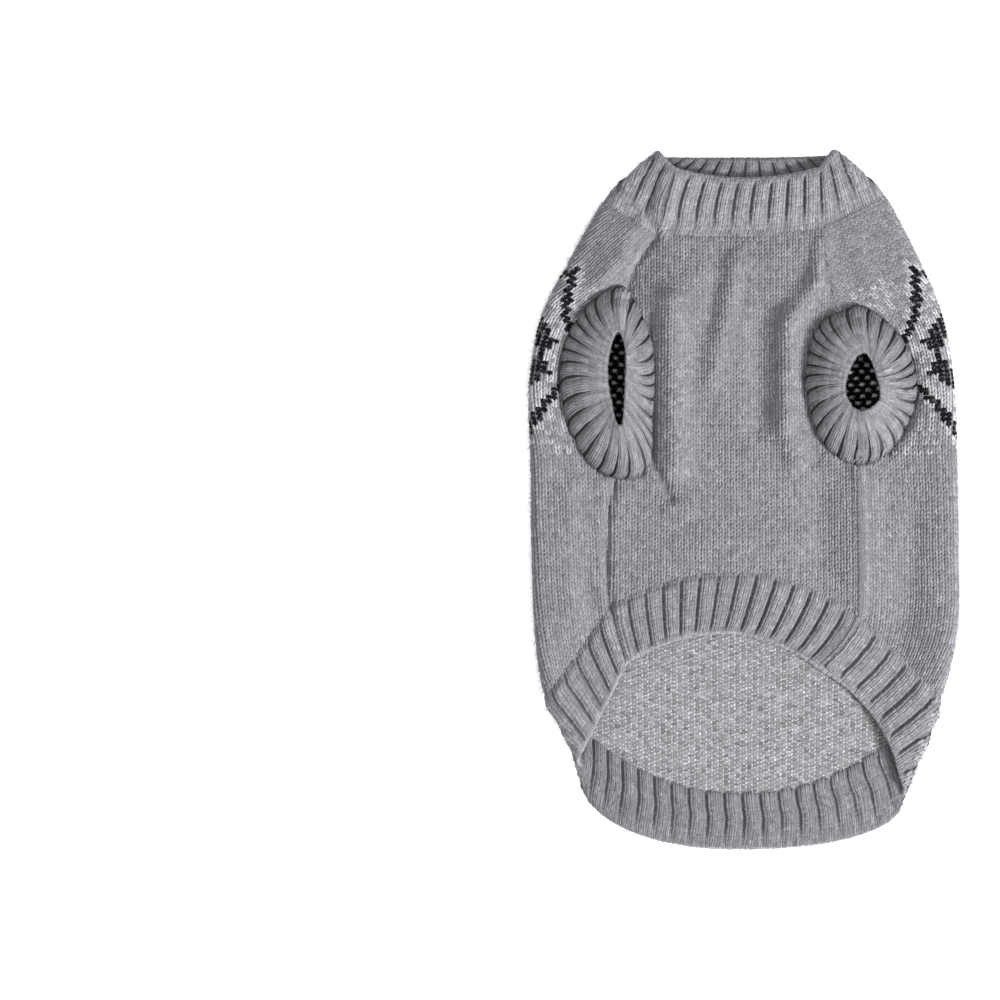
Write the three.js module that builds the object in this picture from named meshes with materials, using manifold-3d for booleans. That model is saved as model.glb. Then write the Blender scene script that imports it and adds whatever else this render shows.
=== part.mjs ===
// A knitted dog sweater laid flat on a table with its belly side up, in millimetres.
// The collar points to +Y, the back lies on the table at z = 0 and the belly faces +Z.
import * as THREE from 'three';
import { mergeVertices } from 'three/addons/utils/BufferGeometryUtils.js';
import Module from 'manifold-3d';

const wasm = await Module();
wasm.setup();

// Cloth, folds and layers
const wall = 2.4;
const foldRadius = 3.1;
const layerGap = 0.6;
const seamGap = 0.46;
const ribHeight = 0.8;
const foldReach = 16;
const neckGape = 1.1;
const hemGape = 1.0;

// Ribs over the left flank, left fold, back, right fold and right flank, and over the belly
const neckBackRibs = [3, 1, 12, 1, 3];
const neckBellyRibs = 9;
const hemBackRibs = [5, 1, 24, 1, 5];
const hemBellyRibs = 14;
const cuffRibs = 26;
const cuffRise = 9.5;

const lowMid = wall / 2;
const topMid = lowMid + wall + layerGap;
const foldTop = lowMid + 2 * foldRadius;
const foldDepth = foldRadius + wall / 2;
const arcPower = 2.2;

// Rings of the body from the collar's edge to the hem's edge: the side folds on the outline,
// the two side seams on top, the middle of the belly and the middle of the back. Bow is how
// flat the back's curve is, round how far it is an arc, bulge how far a flank swells and skew
// how far a fold slants.
const rings = [
  { foldLx: -44, foldLy: 173.5, seamLx: -35.5, seamLy: 164.0, belly: 159,
    seamRx: 38.5, seamRy: 164.5, foldRx: 46, foldRy: 174.3, back: 169.5,
    bow: 2, round: 0, bulgeL: 0, bulgeR: 0, skew: 0 },
  { foldLx: -57.5, foldLy: 162.5, seamLx: -40, seamLy: 148.5, belly: 145.5,
    seamRx: 38.8, seamRy: 151, foldRx: 58, foldRy: 164.5, back: 158,
    bow: 2, round: 0, bulgeL: 0, bulgeR: 0, skew: 0 },
  { foldLx: -70.5, foldLy: 149, seamLx: -44, seamLy: 131.5, belly: 131.5,
    seamRx: 39, seamRy: 136, foldRx: 70.5, foldRy: 152, back: 146,
    bow: 2, round: 0, bulgeL: 0, bulgeR: 0, skew: 0 },
  { foldLx: -87.5, foldLy: 119.5, seamLx: -55.5, seamLy: 113.5, belly: 104.5,
    seamRx: 41.5, seamRy: 114.5, foldRx: 88, foldRy: 119.5, back: 109.5,
    bow: 2.2, round: 0, bulgeL: 0, bulgeR: 0, skew: 0 },
  { foldLx: -101.5, foldLy: 92, seamLx: -60, seamLy: 88.5, belly: 79.5,
    seamRx: 48, seamRy: 87, foldRx: 99.5, foldRy: 92, back: 77,
    bow: 2.2, round: 0, bulgeL: 0, bulgeR: 0, skew: 0 },
  { foldLx: -107.8, foldLy: 57, seamLx: -63, seamLy: 57, belly: 52,
    seamRx: 57.5, seamRy: 55.5, foldRx: 105.6, foldRy: 57, back: 44.5,
    bow: 2.2, round: 0, bulgeL: 0, bulgeR: 0, skew: 0 },
  { foldLx: -107.0, foldLy: 19.5, seamLx: -62.5, seamLy: 20.5, belly: 24.5,
    seamRx: 57.5, seamRy: 22, foldRx: 107, foldRy: 19.5, back: 9.5,
    bow: 2.2, round: 0, bulgeL: 0, bulgeR: 0, skew: 0 },
  { foldLx: -106.5, foldLy: -20.5, seamLx: -68, seamLy: -10.5, belly: 0.5,
    seamRx: 59, seamRy: -10.5, foldRx: 107.65, foldRy: -20.5, back: -38,
    bow: 2.2, round: 0, bulgeL: 0, bulgeR: 0, skew: 0 },
  { foldLx: -105, foldLy: -65.5, seamLx: -68.5, seamLy: -34.5, belly: -19.5,
    seamRx: 59.5, seamRy: -38, foldRx: 107.2, foldRy: -65.5, back: -95.5,
    bow: 2.2, round: 0, bulgeL: 1, bulgeR: 1, skew: 1 },
  { foldLx: -100, foldLy: -99.5, seamLx: -66.5, seamLy: -53, belly: -36.5,
    seamRx: 58, seamRy: -59, foldRx: 99, foldRy: -101, back: -147.5,
    bow: 2.2, round: 0, bulgeL: 0, bulgeR: 1, skew: 6 },
  { foldLx: -92, foldLy: -114, seamLx: -63.5, seamLy: -67, belly: -51,
    seamRx: 49.5, seamRy: -73.5, foldRx: 92.5, foldRy: -120.5, back: -161.5,
    bow: 2.2, round: 0.5, bulgeL: 0, bulgeR: 5, skew: 8 },
  { foldLx: -84, foldLy: -132.5, seamLx: -59, seamLy: -81, belly: -66,
    seamRx: 39, seamRy: -84.5, foldRx: 81.2, foldRy: -147, back: -174.3,
    bow: 2.2, round: 1, bulgeL: 0, bulgeR: 8, skew: 10 },
];
const collarBorder = 2;
const hemBorder = 9;
const lastRing = rings.length - 1;

// Armholes and the open rims of their cuffs, each from the top round by the right side.
const leftCuff = [
  { seamX: -62, seamY: 105.8, rimX: -62.5, rimY: 83 },
  { seamX: -52, seamY: 92.5, rimX: -59.8, rimY: 76 },
  { seamX: -47.3, seamY: 79.5, rimX: -59.2, rimY: 67 },
  { seamX: -45.6, seamY: 60.5, rimX: -59.6, rimY: 57 },
  { seamX: -46.6, seamY: 39.5, rimX: -60, rimY: 47 },
  { seamX: -48.2, seamY: 16, rimX: -60.8, rimY: 39 },
  { seamX: -57.5, seamY: 10, rimX: -62.2, rimY: 36 },
  { seamX: -68.5, seamY: 12, rimX: -64.5, rimY: 39 },
  { seamX: -78.5, seamY: 19, rimX: -66.6, rimY: 47 },
  { seamX: -86, seamY: 33, rimX: -68.3, rimY: 56 },
  { seamX: -90.4, seamY: 46.5, rimX: -68.8, rimY: 64 },
  { seamX: -91.5, seamY: 60.5, rimX: -68, rimY: 71 },
  { seamX: -90, seamY: 75, rimX: -66.6, rimY: 77 },
  { seamX: -80.5, seamY: 93.5, rimX: -64.8, rimY: 81.5 },
];
const rightCuff = [
  { seamX: 54, seamY: 95.5, rimX: 59.5, rimY: 73 },
  { seamX: 62.5, seamY: 94.2, rimX: 62.2, rimY: 70.5 },
  { seamX: 71.5, seamY: 87.8, rimX: 64.6, rimY: 65.5 },
  { seamX: 79, seamY: 79, rimX: 66.4, rimY: 60 },
  { seamX: 84.2, seamY: 68, rimX: 67.6, rimY: 55 },
  { seamX: 86, seamY: 52, rimX: 67.6, rimY: 50 },
  { seamX: 81.5, seamY: 37.5, rimX: 65, rimY: 46.5 },
  { seamX: 72.5, seamY: 24, rimX: 61.5, rimY: 44 },
  { seamX: 62.5, seamY: 18.3, rimX: 58, rimY: 43.2 },
  { seamX: 53.5, seamY: 18.3, rimX: 54.6, rimY: 44.6 },
  { seamX: 44, seamY: 23.5, rimX: 51.6, rimY: 48.5 },
  { seamX: 37, seamY: 33, rimX: 50, rimY: 53 },
  { seamX: 32.5, seamY: 49, rimX: 50.2, rimY: 58.5 },
  { seamX: 31.5, seamY: 65, rimX: 52, rimY: 64.5 },
  { seamX: 37.5, seamY: 86, rimX: 55.4, rimY: 71 },
];

// Soft folds that stand up in the top layer
const softFolds = [
  { fromX: 24, fromY: 112, toX: 27, toY: 66, width: 7, height: 1.7 },
  { fromX: -34, fromY: 92, toX: -34, toY: 52, width: 9, height: 1.3 },
  { fromX: -45, fromY: 14, toX: -31, toY: -8, width: 4, height: 1.6 },
  { fromX: 44, fromY: 16, toX: 42, toY: -14, width: 6, height: 1.0 },
  { fromX: 59.4, fromY: 12, toX: 59.4, toY: -46, width: 2.2, height: 0.9 },
  { fromX: -86, fromY: 4, toX: -84, toY: -60, width: 8, height: 0.9 },
];

function spline(before, from, to, after, t) {
  const slopeFrom = (to - before) / 2;
  const slopeTo = (after - from) / 2;
  const drop = from - to;
  const cubic = 2 * drop + slopeFrom + slopeTo;
  const square = -3 * drop - 2 * slopeFrom - slopeTo;
  return ((cubic * t + square) * t + slopeFrom) * t + from;
}

function ringAt(row) {
  const clamped = Math.min(Math.max(row, 0), lastRing);
  const index = Math.min(Math.floor(clamped), lastRing - 1);
  const t = clamped - index;
  const ring = {};
  for (const name of Object.keys(rings[0])) {
    const from = rings[index][name];
    const to = rings[index + 1][name];
    const before = index > 0 ? rings[index - 1][name] : 2 * from - to;
    const after = index + 2 <= lastRing ? rings[index + 2][name] : 2 * to - from;
    ring[name] = spline(before, from, to, after, t);
  }
  return ring;
}

const outlineSteps = 6;
const outline = [];
for (let step = 0; step <= lastRing * outlineSteps; step += 1) {
  outline.push(ringAt(step / outlineSteps));
}

function segmentDistance(x, y, ax, ay, bx, by) {
  const dx = bx - ax;
  const dy = by - ay;
  const along = ((x - ax) * dx + (y - ay) * dy) / (dx * dx + dy * dy);
  const t = Math.min(Math.max(along, 0), 1);
  return Math.hypot(x - ax - t * dx, y - ay - t * dy);
}

function edgeDistance(x, y) {
  let nearest = Infinity;
  for (let i = 0; i + 1 < outline.length; i += 1) {
    const a = outline[i];
    const b = outline[i + 1];
    const left = segmentDistance(x, y, a.foldLx, a.foldLy, b.foldLx, b.foldLy);
    const right = segmentDistance(x, y, a.foldRx, a.foldRy, b.foldRx, b.foldRy);
    nearest = Math.min(nearest, left, right);
  }
  return nearest;
}

// Height of the middle of the top layer: high beside the rolled sides, low in the middle.
function topHeight(x, y) {
  const inward = Math.max(edgeDistance(x, y) - foldDepth, 0);
  const reach = inward / foldReach;
  let height = topMid + (foldTop - topMid) * Math.exp(-reach * reach);
  for (const fold of softFolds) {
    const away = segmentDistance(x, y, fold.fromX, fold.fromY, fold.toX, fold.toY) / fold.width;
    height += fold.height * Math.exp(-away * away) * Math.min(inward / foldReach, 1);
  }
  return height;
}

function easeIn(value) {
  const t = Math.min(Math.max(value, 0), 1);
  return t * t * (3 - 2 * t);
}

function mouthLift(row, inward) {
  const atNeck = neckGape * easeIn((collarBorder - row) / collarBorder);
  const atHem = hemGape * easeIn((row - hemBorder) / (lastRing - hemBorder));
  return (atNeck + atHem) * easeIn(inward / foldReach);
}

function topPoint(x, y, row) {
  const probe = 0.5;
  const height = topHeight(x, y);
  const slopeX = (topHeight(x + probe, y) - height) / probe;
  const slopeY = (topHeight(x, y + probe) - height) / probe;
  const lift = mouthLift(row, Math.max(edgeDistance(x, y) - foldDepth, 0));
  const normal = new THREE.Vector3(-slopeX, -slopeY, 1).normalize();
  return { at: new THREE.Vector3(x, y, height + lift), normal, up: 1 };
}

// Half a turn of cloth round a side fold, slanting along the fold by the skew.
function foldPoints(x, y, side, skew, fromTop, count) {
  const points = [];
  for (let i = 0; i <= count; i += 1) {
    const turn = fromTop ? i / count : 1 - i / count;
    const angle = Math.PI * (0.5 - turn);
    const out = Math.cos(angle);
    const inset = foldDepth - foldRadius * out;
    const slide = skew * (turn - 0.5);
    const at = new THREE.Vector3(
      x + side.inX * inset + side.alongX * slide,
      y + side.inY * inset + side.alongY * slide,
      lowMid + foldRadius * (1 + Math.sin(angle)),
    );
    const normal = new THREE.Vector3(-side.inX * out, -side.inY * out, Math.sin(angle));
    points.push({ at, normal, up: Math.sin(angle) });
  }
  return points;
}

// The direction along a side fold towards the hem and the direction in from it.
function foldSide(row, xName, yName, turn) {
  const probe = 0.05;
  const before = ringAt(Math.max(row - probe, 0));
  const after = ringAt(Math.min(row + probe, lastRing));
  const dx = after[xName] - before[xName];
  const dy = after[yName] - before[yName];
  const length = Math.hypot(dx, dy);
  const alongX = dx / length;
  const alongY = dy / length;
  return { alongX, alongY, inX: -alongY * turn, inY: alongX * turn };
}

function foldEnd(x, y, side, slide) {
  return {
    x: x + side.inX * foldDepth + side.alongX * slide,
    y: y + side.inY * foldDepth + side.alongY * slide,
  };
}

const backSteps = 60;

// The back panel's part of one ring: left flank, left fold, back, right fold, right flank.
function backSection(row) {
  const ring = ringAt(row);
  const sideL = foldSide(row, 'foldLx', 'foldLy', 1);
  const sideR = foldSide(row, 'foldRx', 'foldRy', -1);
  const half = ring.skew / 2;
  const topL = foldEnd(ring.foldLx, ring.foldLy, sideL, -half);
  const topR = foldEnd(ring.foldRx, ring.foldRy, sideR, -half);
  const lowL = foldEnd(ring.foldLx, ring.foldLy, sideL, half);
  const lowR = foldEnd(ring.foldRx, ring.foldRy, sideR, half);
  const flankSteps = 16;
  const foldSteps = 12;
  const flankL = [];
  const flankR = [];
  for (let i = 0; i <= flankSteps; i += 1) {
    const t = i / flankSteps;
    flankL.push(flankPoint(row, ring.seamLx, ring.seamLy, topL, ring.bulgeL, -1, t));
    flankR.push(flankPoint(row, ring.seamRx, ring.seamRy, topR, ring.bulgeR, 1, 1 - t));
  }
  const back = [];
  for (let i = 0; i <= backSteps; i += 1) {
    const s = Math.sin(Math.PI * (i / backSteps - 0.5));
    const x = lowL.x + ((lowR.x - lowL.x) * (s + 1)) / 2;
    const edgeY = s < 0 ? lowL.y : lowR.y;
    const bowed = Math.abs(s) ** ring.bow;
    const arched = 1 - Math.max(1 - Math.abs(s) ** arcPower, 0) ** (1 / arcPower);
    const y = ring.back + (edgeY - ring.back) * (bowed + (arched - bowed) * ring.round);
    back.push({ at: new THREE.Vector3(x, y, lowMid), normal: new THREE.Vector3(0, 0, -1), up: -1 });
  }
  const foldL = foldPoints(ring.foldLx, ring.foldLy, sideL, ring.skew, true, foldSteps);
  const foldR = foldPoints(ring.foldRx, ring.foldRy, sideR, ring.skew, false, foldSteps);
  return [flankL, foldL, back, foldR, flankR];
}

function flankPoint(row, seamX, seamY, start, bulge, side, t) {
  const dx = start.x - seamX;
  const dy = start.y - seamY;
  const length = Math.hypot(dx, dy);
  const out = 4 * bulge * t * (1 - t);
  const x = seamX + dx * t + ((-dy / length) * out * side);
  const y = seamY + dy * t + ((dx / length) * out * side);
  return topPoint(x, y, row);
}

// The belly panel's part of one ring: right seam, middle of the belly, left seam.
function bellySection(row) {
  const ring = ringAt(row);
  const steps = 40;
  const points = [];
  for (let i = 0; i <= steps; i += 1) {
    const t = i / steps;
    const s = 2 * t - 1;
    const x = ring.seamRx + (ring.seamLx - ring.seamRx) * t;
    const edgeY = s < 0 ? ring.seamRy : ring.seamLy;
    const y = ring.belly + (edgeY - ring.belly) * s * s;
    points.push(topPoint(x, y, row));
  }
  return [points];
}

function evenly(points, count, trimFrom, trimTo) {
  const lengths = [0];
  for (let i = 1; i < points.length; i += 1) {
    lengths.push(lengths[i - 1] + points[i].at.distanceTo(points[i - 1].at));
  }
  const from = trimFrom;
  const to = lengths[lengths.length - 1] - trimTo;
  const result = [];
  let index = 1;
  for (let i = 0; i <= count; i += 1) {
    const length = from + ((to - from) * i) / count;
    while (index < points.length - 1 && lengths[index] < length) {
      index += 1;
    }
    const a = points[index - 1];
    const b = points[index];
    const t = (length - lengths[index - 1]) / (lengths[index] - lengths[index - 1]);
    result.push({
      at: a.at.clone().lerp(b.at, t),
      normal: a.normal.clone().lerp(b.normal, t).normalize(),
      up: a.up + (b.up - a.up) * t,
    });
  }
  return result;
}

// One row of points, each run of it divided evenly and its two ends trimmed at the seams.
function rowPoints(section, row, counts, trim) {
  const runs = section(row);
  const result = [];
  runs.forEach((run, k) => {
    const trimFrom = k === 0 ? trim : 0;
    const trimTo = k === runs.length - 1 ? trim : 0;
    const points = evenly(run, counts[k], trimFrom, trimTo);
    result.push(...(k === 0 ? points : points.slice(1)));
  });
  return result;
}

// The first or last row is pulled back from its border by half of the seam's gap.
function borderRow(section, row, beside, counts, trim) {
  const edge = rowPoints(section, row, counts, trim);
  const next = rowPoints(section, beside, counts, trim);
  return edge.map((point, i) => {
    const step = next[i].at.clone().sub(point.at);
    const along = edge[Math.min(i + 1, edge.length - 1)].at.clone().sub(edge[Math.max(i - 1, 0)].at);
    const across = step.clone().cross(along.normalize()).length();
    const share = Math.min(seamGap / 2 / across, 0.4);
    return { at: point.at.clone().addScaledVector(step, share), normal: point.normal, up: point.up };
  });
}

function sectionRows(section, counts, from, to, perRing, trim, freeFrom, freeTo) {
  const rows = [];
  const total = Math.round((to - from) * perRing);
  for (let j = 0; j <= total; j += 1) {
    const row = from + ((to - from) * j) / total;
    if (j === 0 && !freeFrom) {
      rows.push(borderRow(section, row, row + 1 / perRing, counts, trim));
    } else if (j === total && !freeTo) {
      rows.push(borderRow(section, row, row - 1 / perRing, counts, trim));
    } else {
      rows.push(rowPoints(section, row, counts, trim));
    }
  }
  return rows;
}

function shellGeometry(outer, inner, closed) {
  const rows = outer.length;
  const columns = outer[0].length;
  const positions = [];
  for (const grid of [outer, inner]) {
    for (const line of grid) {
      for (const point of line) {
        positions.push(point.x, point.y, point.z);
      }
    }
  }
  const innerStart = rows * columns;
  const outside = (j, i) => j * columns + (i % columns);
  const inside = (j, i) => innerStart + j * columns + (i % columns);
  const index = [];
  const quad = (a, b, c, d) => index.push(a, b, c, a, c, d);
  const spans = closed ? columns : columns - 1;
  for (let j = 0; j + 1 < rows; j += 1) {
    for (let i = 0; i < spans; i += 1) {
      quad(outside(j, i), outside(j, i + 1), outside(j + 1, i + 1), outside(j + 1, i));
      quad(inside(j, i), inside(j + 1, i), inside(j + 1, i + 1), inside(j, i + 1));
    }
  }
  for (let i = 0; i < spans; i += 1) {
    quad(outside(0, i + 1), outside(0, i), inside(0, i), inside(0, i + 1));
    quad(outside(rows - 1, i), outside(rows - 1, i + 1), inside(rows - 1, i + 1), inside(rows - 1, i));
  }
  if (!closed) {
    for (let j = 0; j + 1 < rows; j += 1) {
      quad(outside(j, 0), outside(j + 1, 0), inside(j + 1, 0), inside(j, 0));
      const last = columns - 1;
      quad(outside(j + 1, last), outside(j, last), inside(j, last), inside(j + 1, last));
    }
  }
  const geometry = new THREE.BufferGeometry();
  geometry.setAttribute('position', new THREE.Float32BufferAttribute(positions, 3));
  geometry.setIndex(index);
  return geometry;
}

function wallGeometry(rows, closed, raise) {
  const outer = [];
  const inner = [];
  rows.forEach((row, j) => {
    outer.push(row.map((point, i) => {
      const height = wall / 2 + raise(i, j, Math.max(point.up, 0));
      return point.at.clone().addScaledVector(point.normal, height);
    }));
    inner.push(row.map((point, i) => {
      const height = wall / 2 + raise(i, j, Math.max(-point.up, 0));
      return point.at.clone().addScaledVector(point.normal, -height);
    }));
  });
  return shellGeometry(outer, inner, closed);
}

// A rib has a low point at its start and is high over the rest of its width.
const cuffPointsPerRib = 3;
const pointsPerRib = 6;
const plainRaise = () => 0;

function ribRing(backRows, bellyRows, perRib) {
  const rows = backRows.map((row, j) => [...row.slice(0, -1), ...bellyRows[j].slice(0, -1)]);
  const raise = (i, j, facing) => (i % perRib === 0 ? 0 : ribHeight * Math.sqrt(facing));
  return wallGeometry(rows, true, raise);
}

function neckRib() {
  const backCounts = neckBackRibs.map((ribs) => ribs * pointsPerRib);
  const bellyCounts = [neckBellyRibs * pointsPerRib];
  const back = sectionRows(backSection, backCounts, 0, collarBorder, ribRowsPerRing, 0, true, false);
  const belly = sectionRows(bellySection, bellyCounts, 0, collarBorder, ribRowsPerRing, 0, true, false);
  return ribRing(back, belly, pointsPerRib);
}

function lengthsOf(points) {
  const lengths = [0];
  for (let i = 1; i < points.length; i += 1) {
    lengths.push(lengths[i - 1] + points[i].at.distanceTo(points[i - 1].at));
  }
  return lengths;
}

function pointAt(points, lengths, length) {
  let index = 1;
  while (index < points.length - 1 && lengths[index] < length) {
    index += 1;
  }
  const a = points[index - 1];
  const b = points[index];
  const t = (length - lengths[index - 1]) / (lengths[index] - lengths[index - 1]);
  return {
    at: a.at.clone().lerp(b.at, t),
    normal: a.normal.clone().lerp(b.normal, t).normalize(),
    up: a.up + (b.up - a.up) * t,
  };
}

// The hem's ribs are spaced by the panels at the border and evenly at the free edge, so that
// near the side folds they pass from the back round to the belly side.
function hemPlaces(counts) {
  const border = backSection(hemBorder);
  const places = [];
  let from = 0;
  border.forEach((run, k) => {
    const lengths = lengthsOf(run);
    const total = lengths[lengths.length - 1];
    for (let i = k === 0 ? 0 : 1; i <= counts[k]; i += 1) {
      places.push(from + (total * i) / counts[k]);
    }
    from += total;
  });
  const middle = (places.length - 1) / 2;
  const centre = places[middle];
  return places.map((place, i) => {
    const half = i < middle ? centre : from - centre;
    return { border: (place - centre) / half, even: (i - middle) / middle };
  });
}

function hemRow(row, places) {
  const runs = backSection(row);
  const points = runs.flatMap((run, k) => (k === 0 ? run : run.slice(1)));
  const lengths = lengthsOf(points);
  const total = lengths[lengths.length - 1];
  const before = lengthsOf([...runs[0], ...runs[1].slice(1), ...runs[2].slice(1, backSteps / 2 + 1)]);
  const centre = before[before.length - 1];
  const shift = (row - hemBorder) / (lastRing - hemBorder);
  return places.map((place) => {
    const share = place.border + (place.even - place.border) * shift;
    const half = share < 0 ? centre : total - centre;
    return pointAt(points, lengths, centre + share * half);
  });
}

function hemRib() {
  const backCounts = hemBackRibs.map((ribs) => ribs * pointsPerRib);
  const bellyCounts = [hemBellyRibs * pointsPerRib];
  const places = hemPlaces(backCounts);
  const total = Math.round((lastRing - hemBorder) * ribRowsPerRing);
  const back = [borderRow(backSection, hemBorder, hemBorder + 1 / ribRowsPerRing, backCounts, 0)];
  for (let j = 1; j <= total; j += 1) {
    back.push(hemRow(hemBorder + ((lastRing - hemBorder) * j) / total, places));
  }
  const belly = sectionRows(
    bellySection, bellyCounts, hemBorder, lastRing, ribRowsPerRing, 0, false, true,
  );
  return ribRing(back, belly, pointsPerRib);
}

function closedSpline(table, xName, yName, position) {
  const count = table.length;
  const place = (position % 1) * count;
  const index = Math.floor(place);
  const t = place - index;
  const entry = (offset) => table[(index + offset + count) % count];
  const x = spline(entry(-1)[xName], entry(0)[xName], entry(1)[xName], entry(2)[xName], t);
  const y = spline(entry(-1)[yName], entry(0)[yName], entry(1)[yName], entry(2)[yName], t);
  return new THREE.Vector2(x, y);
}

function roundLoop(table, xName, yName, count) {
  const fine = 240;
  const dense = [];
  for (let i = 0; i <= fine; i += 1) {
    dense.push(closedSpline(table, xName, yName, i === fine ? 0 : i / fine));
  }
  const lengths = [0];
  for (let i = 1; i <= fine; i += 1) {
    lengths.push(lengths[i - 1] + dense[i].distanceTo(dense[i - 1]));
  }
  const result = [];
  let index = 1;
  for (let i = 0; i < count; i += 1) {
    const length = (lengths[fine] * i) / count;
    while (lengths[index] < length) {
      index += 1;
    }
    const t = (length - lengths[index - 1]) / (lengths[index] - lengths[index - 1]);
    result.push(dense[index - 1].clone().lerp(dense[index], t));
  }
  return result;
}

function insetLoop(loop, inset) {
  return loop.map((point, i) => {
    const before = loop[(i + loop.length - 1) % loop.length];
    const after = loop[(i + 1) % loop.length];
    const along = after.clone().sub(before).normalize();
    return new THREE.Vector2(point.x + along.y * inset, point.y - along.x * inset);
  });
}

// A cuff is a ribbed cone: sewn round the armhole, with its open rim standing up in the middle.
function cuffGeometry(table) {
  const count = cuffRibs * cuffPointsPerRib;
  const seam = insetLoop(roundLoop(table, 'seamX', 'seamY', count), seamGap * 1.5).reverse();
  const rim = roundLoop(table, 'rimX', 'rimY', count).reverse();
  const profile = [
    { inward: 0, rise: 0 },
    { inward: 0.16, rise: 0.32 },
    { inward: 0.5, rise: 0.7 },
    { inward: 0.84, rise: 0.94 },
    { inward: 1, rise: 1 },
  ];
  const middle = profile.map((step) => seam.map((point, i) => {
    const flat = point.clone().lerp(rim[i], step.inward);
    const base = topHeight(point.x, point.y);
    const crown = topMid + (foldTop - topMid) * 0.3 + cuffRise;
    return new THREE.Vector3(flat.x, flat.y, base + (crown - base) * step.rise);
  }));
  const outer = [];
  const inner = [];
  middle.forEach((row, j) => {
    const outerRow = [];
    const innerRow = [];
    row.forEach((point, i) => {
      const normal = new THREE.Vector3(0, 0, 1);
      if (j > 0) {
        const before = middle[j - 1][i];
        const after = middle[Math.min(j + 1, middle.length - 1)][i];
        const left = row[(i + count - 1) % count];
        const right = row[(i + 1) % count];
        const down = after.clone().sub(before);
        normal.crossVectors(right.clone().sub(left), down).normalize();
      }
      const raised = j > 0 && i % cuffPointsPerRib !== 0 ? ribHeight : 0;
      outerRow.push(point.clone().addScaledVector(normal, wall / 2 + raised));
      innerRow.push(point.clone().addScaledVector(normal, -wall / 2));
    });
    outer.push(outerRow);
    inner.push(innerRow);
  });
  return shellGeometry(outer, inner, true);
}

function toManifold(geometry) {
  const plain = new THREE.BufferGeometry();
  plain.setAttribute('position', geometry.getAttribute('position').clone());
  plain.setIndex(geometry.getIndex());
  const merged = mergeVertices(plain, 1e-4);
  return new wasm.Manifold(new wasm.Mesh({
    numProp: 3,
    vertProperties: new Float32Array(merged.getAttribute('position').array),
    triVerts: new Uint32Array(merged.getIndex().array),
  }));
}

function toGeometry(solid) {
  const mesh = solid.getMesh();
  const geometry = new THREE.BufferGeometry();
  geometry.setAttribute('position', new THREE.Float32BufferAttribute(mesh.vertProperties, 3));
  geometry.setIndex(Array.from(mesh.triVerts));
  return geometry;
}

// A tall plug through the top layer only, for cutting an armhole.
function armholePlug(table) {
  const pointCount = cuffRibs * cuffPointsPerRib;
  const loop = roundLoop(table, 'seamX', 'seamY', pointCount);
  const floorZ = wall + layerGap / 2;
  const height = 30;
  const shape = loop.map((point) => [point.x, point.y]).reverse();
  const section = new wasm.CrossSection([shape]);
  return section.extrude(height).translate([0, 0, floorZ]);
}

function cutArmholes(geometry) {
  const plugs = wasm.Manifold.union([armholePlug(leftCuff), armholePlug(rightCuff)]);
  return toGeometry(toManifold(geometry).subtract(plugs));
}

const backColumns = [5, 6, 24, 6, 5];
const bellyColumns = [16];
const panelRowsPerRing = 2;
const ribRowsPerRing = 1.5;
const panelTrim = seamGap / 2;
const backRows = sectionRows(
  backSection, backColumns, collarBorder, hemBorder, panelRowsPerRing, panelTrim, false, false,
);
const bellyRows = sectionRows(
  bellySection, bellyColumns, collarBorder, hemBorder, panelRowsPerRing, panelTrim, false, false,
);

const group = new THREE.Group();
group.name = 'dog_sweater';

function addPiece(name, geometry, color) {
  const material = new THREE.MeshStandardMaterial({ color, roughness: 0.95, metalness: 0 });
  const plain = geometry.index ? geometry : mergeVertices(geometry);
  plain.computeVertexNormals();
  const mesh = new THREE.Mesh(plain, material);
  mesh.name = name;
  group.add(mesh);
}

addPiece('back_panel', cutArmholes(wallGeometry(backRows, false, plainRaise)), '#96959a');
addPiece('belly_panel', cutArmholes(wallGeometry(bellyRows, false, plainRaise)), '#949398');
addPiece('neck_rib', neckRib(), '#87868b');
addPiece('hem_rib', hemRib(), '#87868b');
addPiece('cuff_left', cuffGeometry(leftCuff), '#7c7b80');
addPiece('cuff_right', cuffGeometry(rightCuff), '#7c7b80');

export default group;
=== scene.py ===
"""The looks of a knitted dog sweater laid flat, belly side up.

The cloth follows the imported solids: each panel, rib and cuff is a thin shell on the same rings,
and real knit stitches, two yarn legs each, lie on it row by row. Lengths are in millimetres.
"""

import math

import bpy
import numpy as np
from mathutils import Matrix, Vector


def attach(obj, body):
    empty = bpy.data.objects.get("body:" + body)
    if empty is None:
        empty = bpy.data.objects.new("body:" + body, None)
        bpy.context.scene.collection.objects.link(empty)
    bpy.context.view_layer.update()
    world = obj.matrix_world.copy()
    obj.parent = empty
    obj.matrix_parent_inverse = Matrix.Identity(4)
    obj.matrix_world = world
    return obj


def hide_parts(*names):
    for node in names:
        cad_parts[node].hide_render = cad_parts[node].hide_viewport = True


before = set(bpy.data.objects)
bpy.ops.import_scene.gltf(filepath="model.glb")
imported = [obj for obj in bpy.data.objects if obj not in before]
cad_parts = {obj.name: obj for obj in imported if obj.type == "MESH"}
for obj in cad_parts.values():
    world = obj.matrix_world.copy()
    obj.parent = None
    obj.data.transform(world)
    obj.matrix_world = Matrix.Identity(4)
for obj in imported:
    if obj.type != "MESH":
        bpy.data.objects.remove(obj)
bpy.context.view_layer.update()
rng = np.random.default_rng(11)

MM = 0.001

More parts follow.
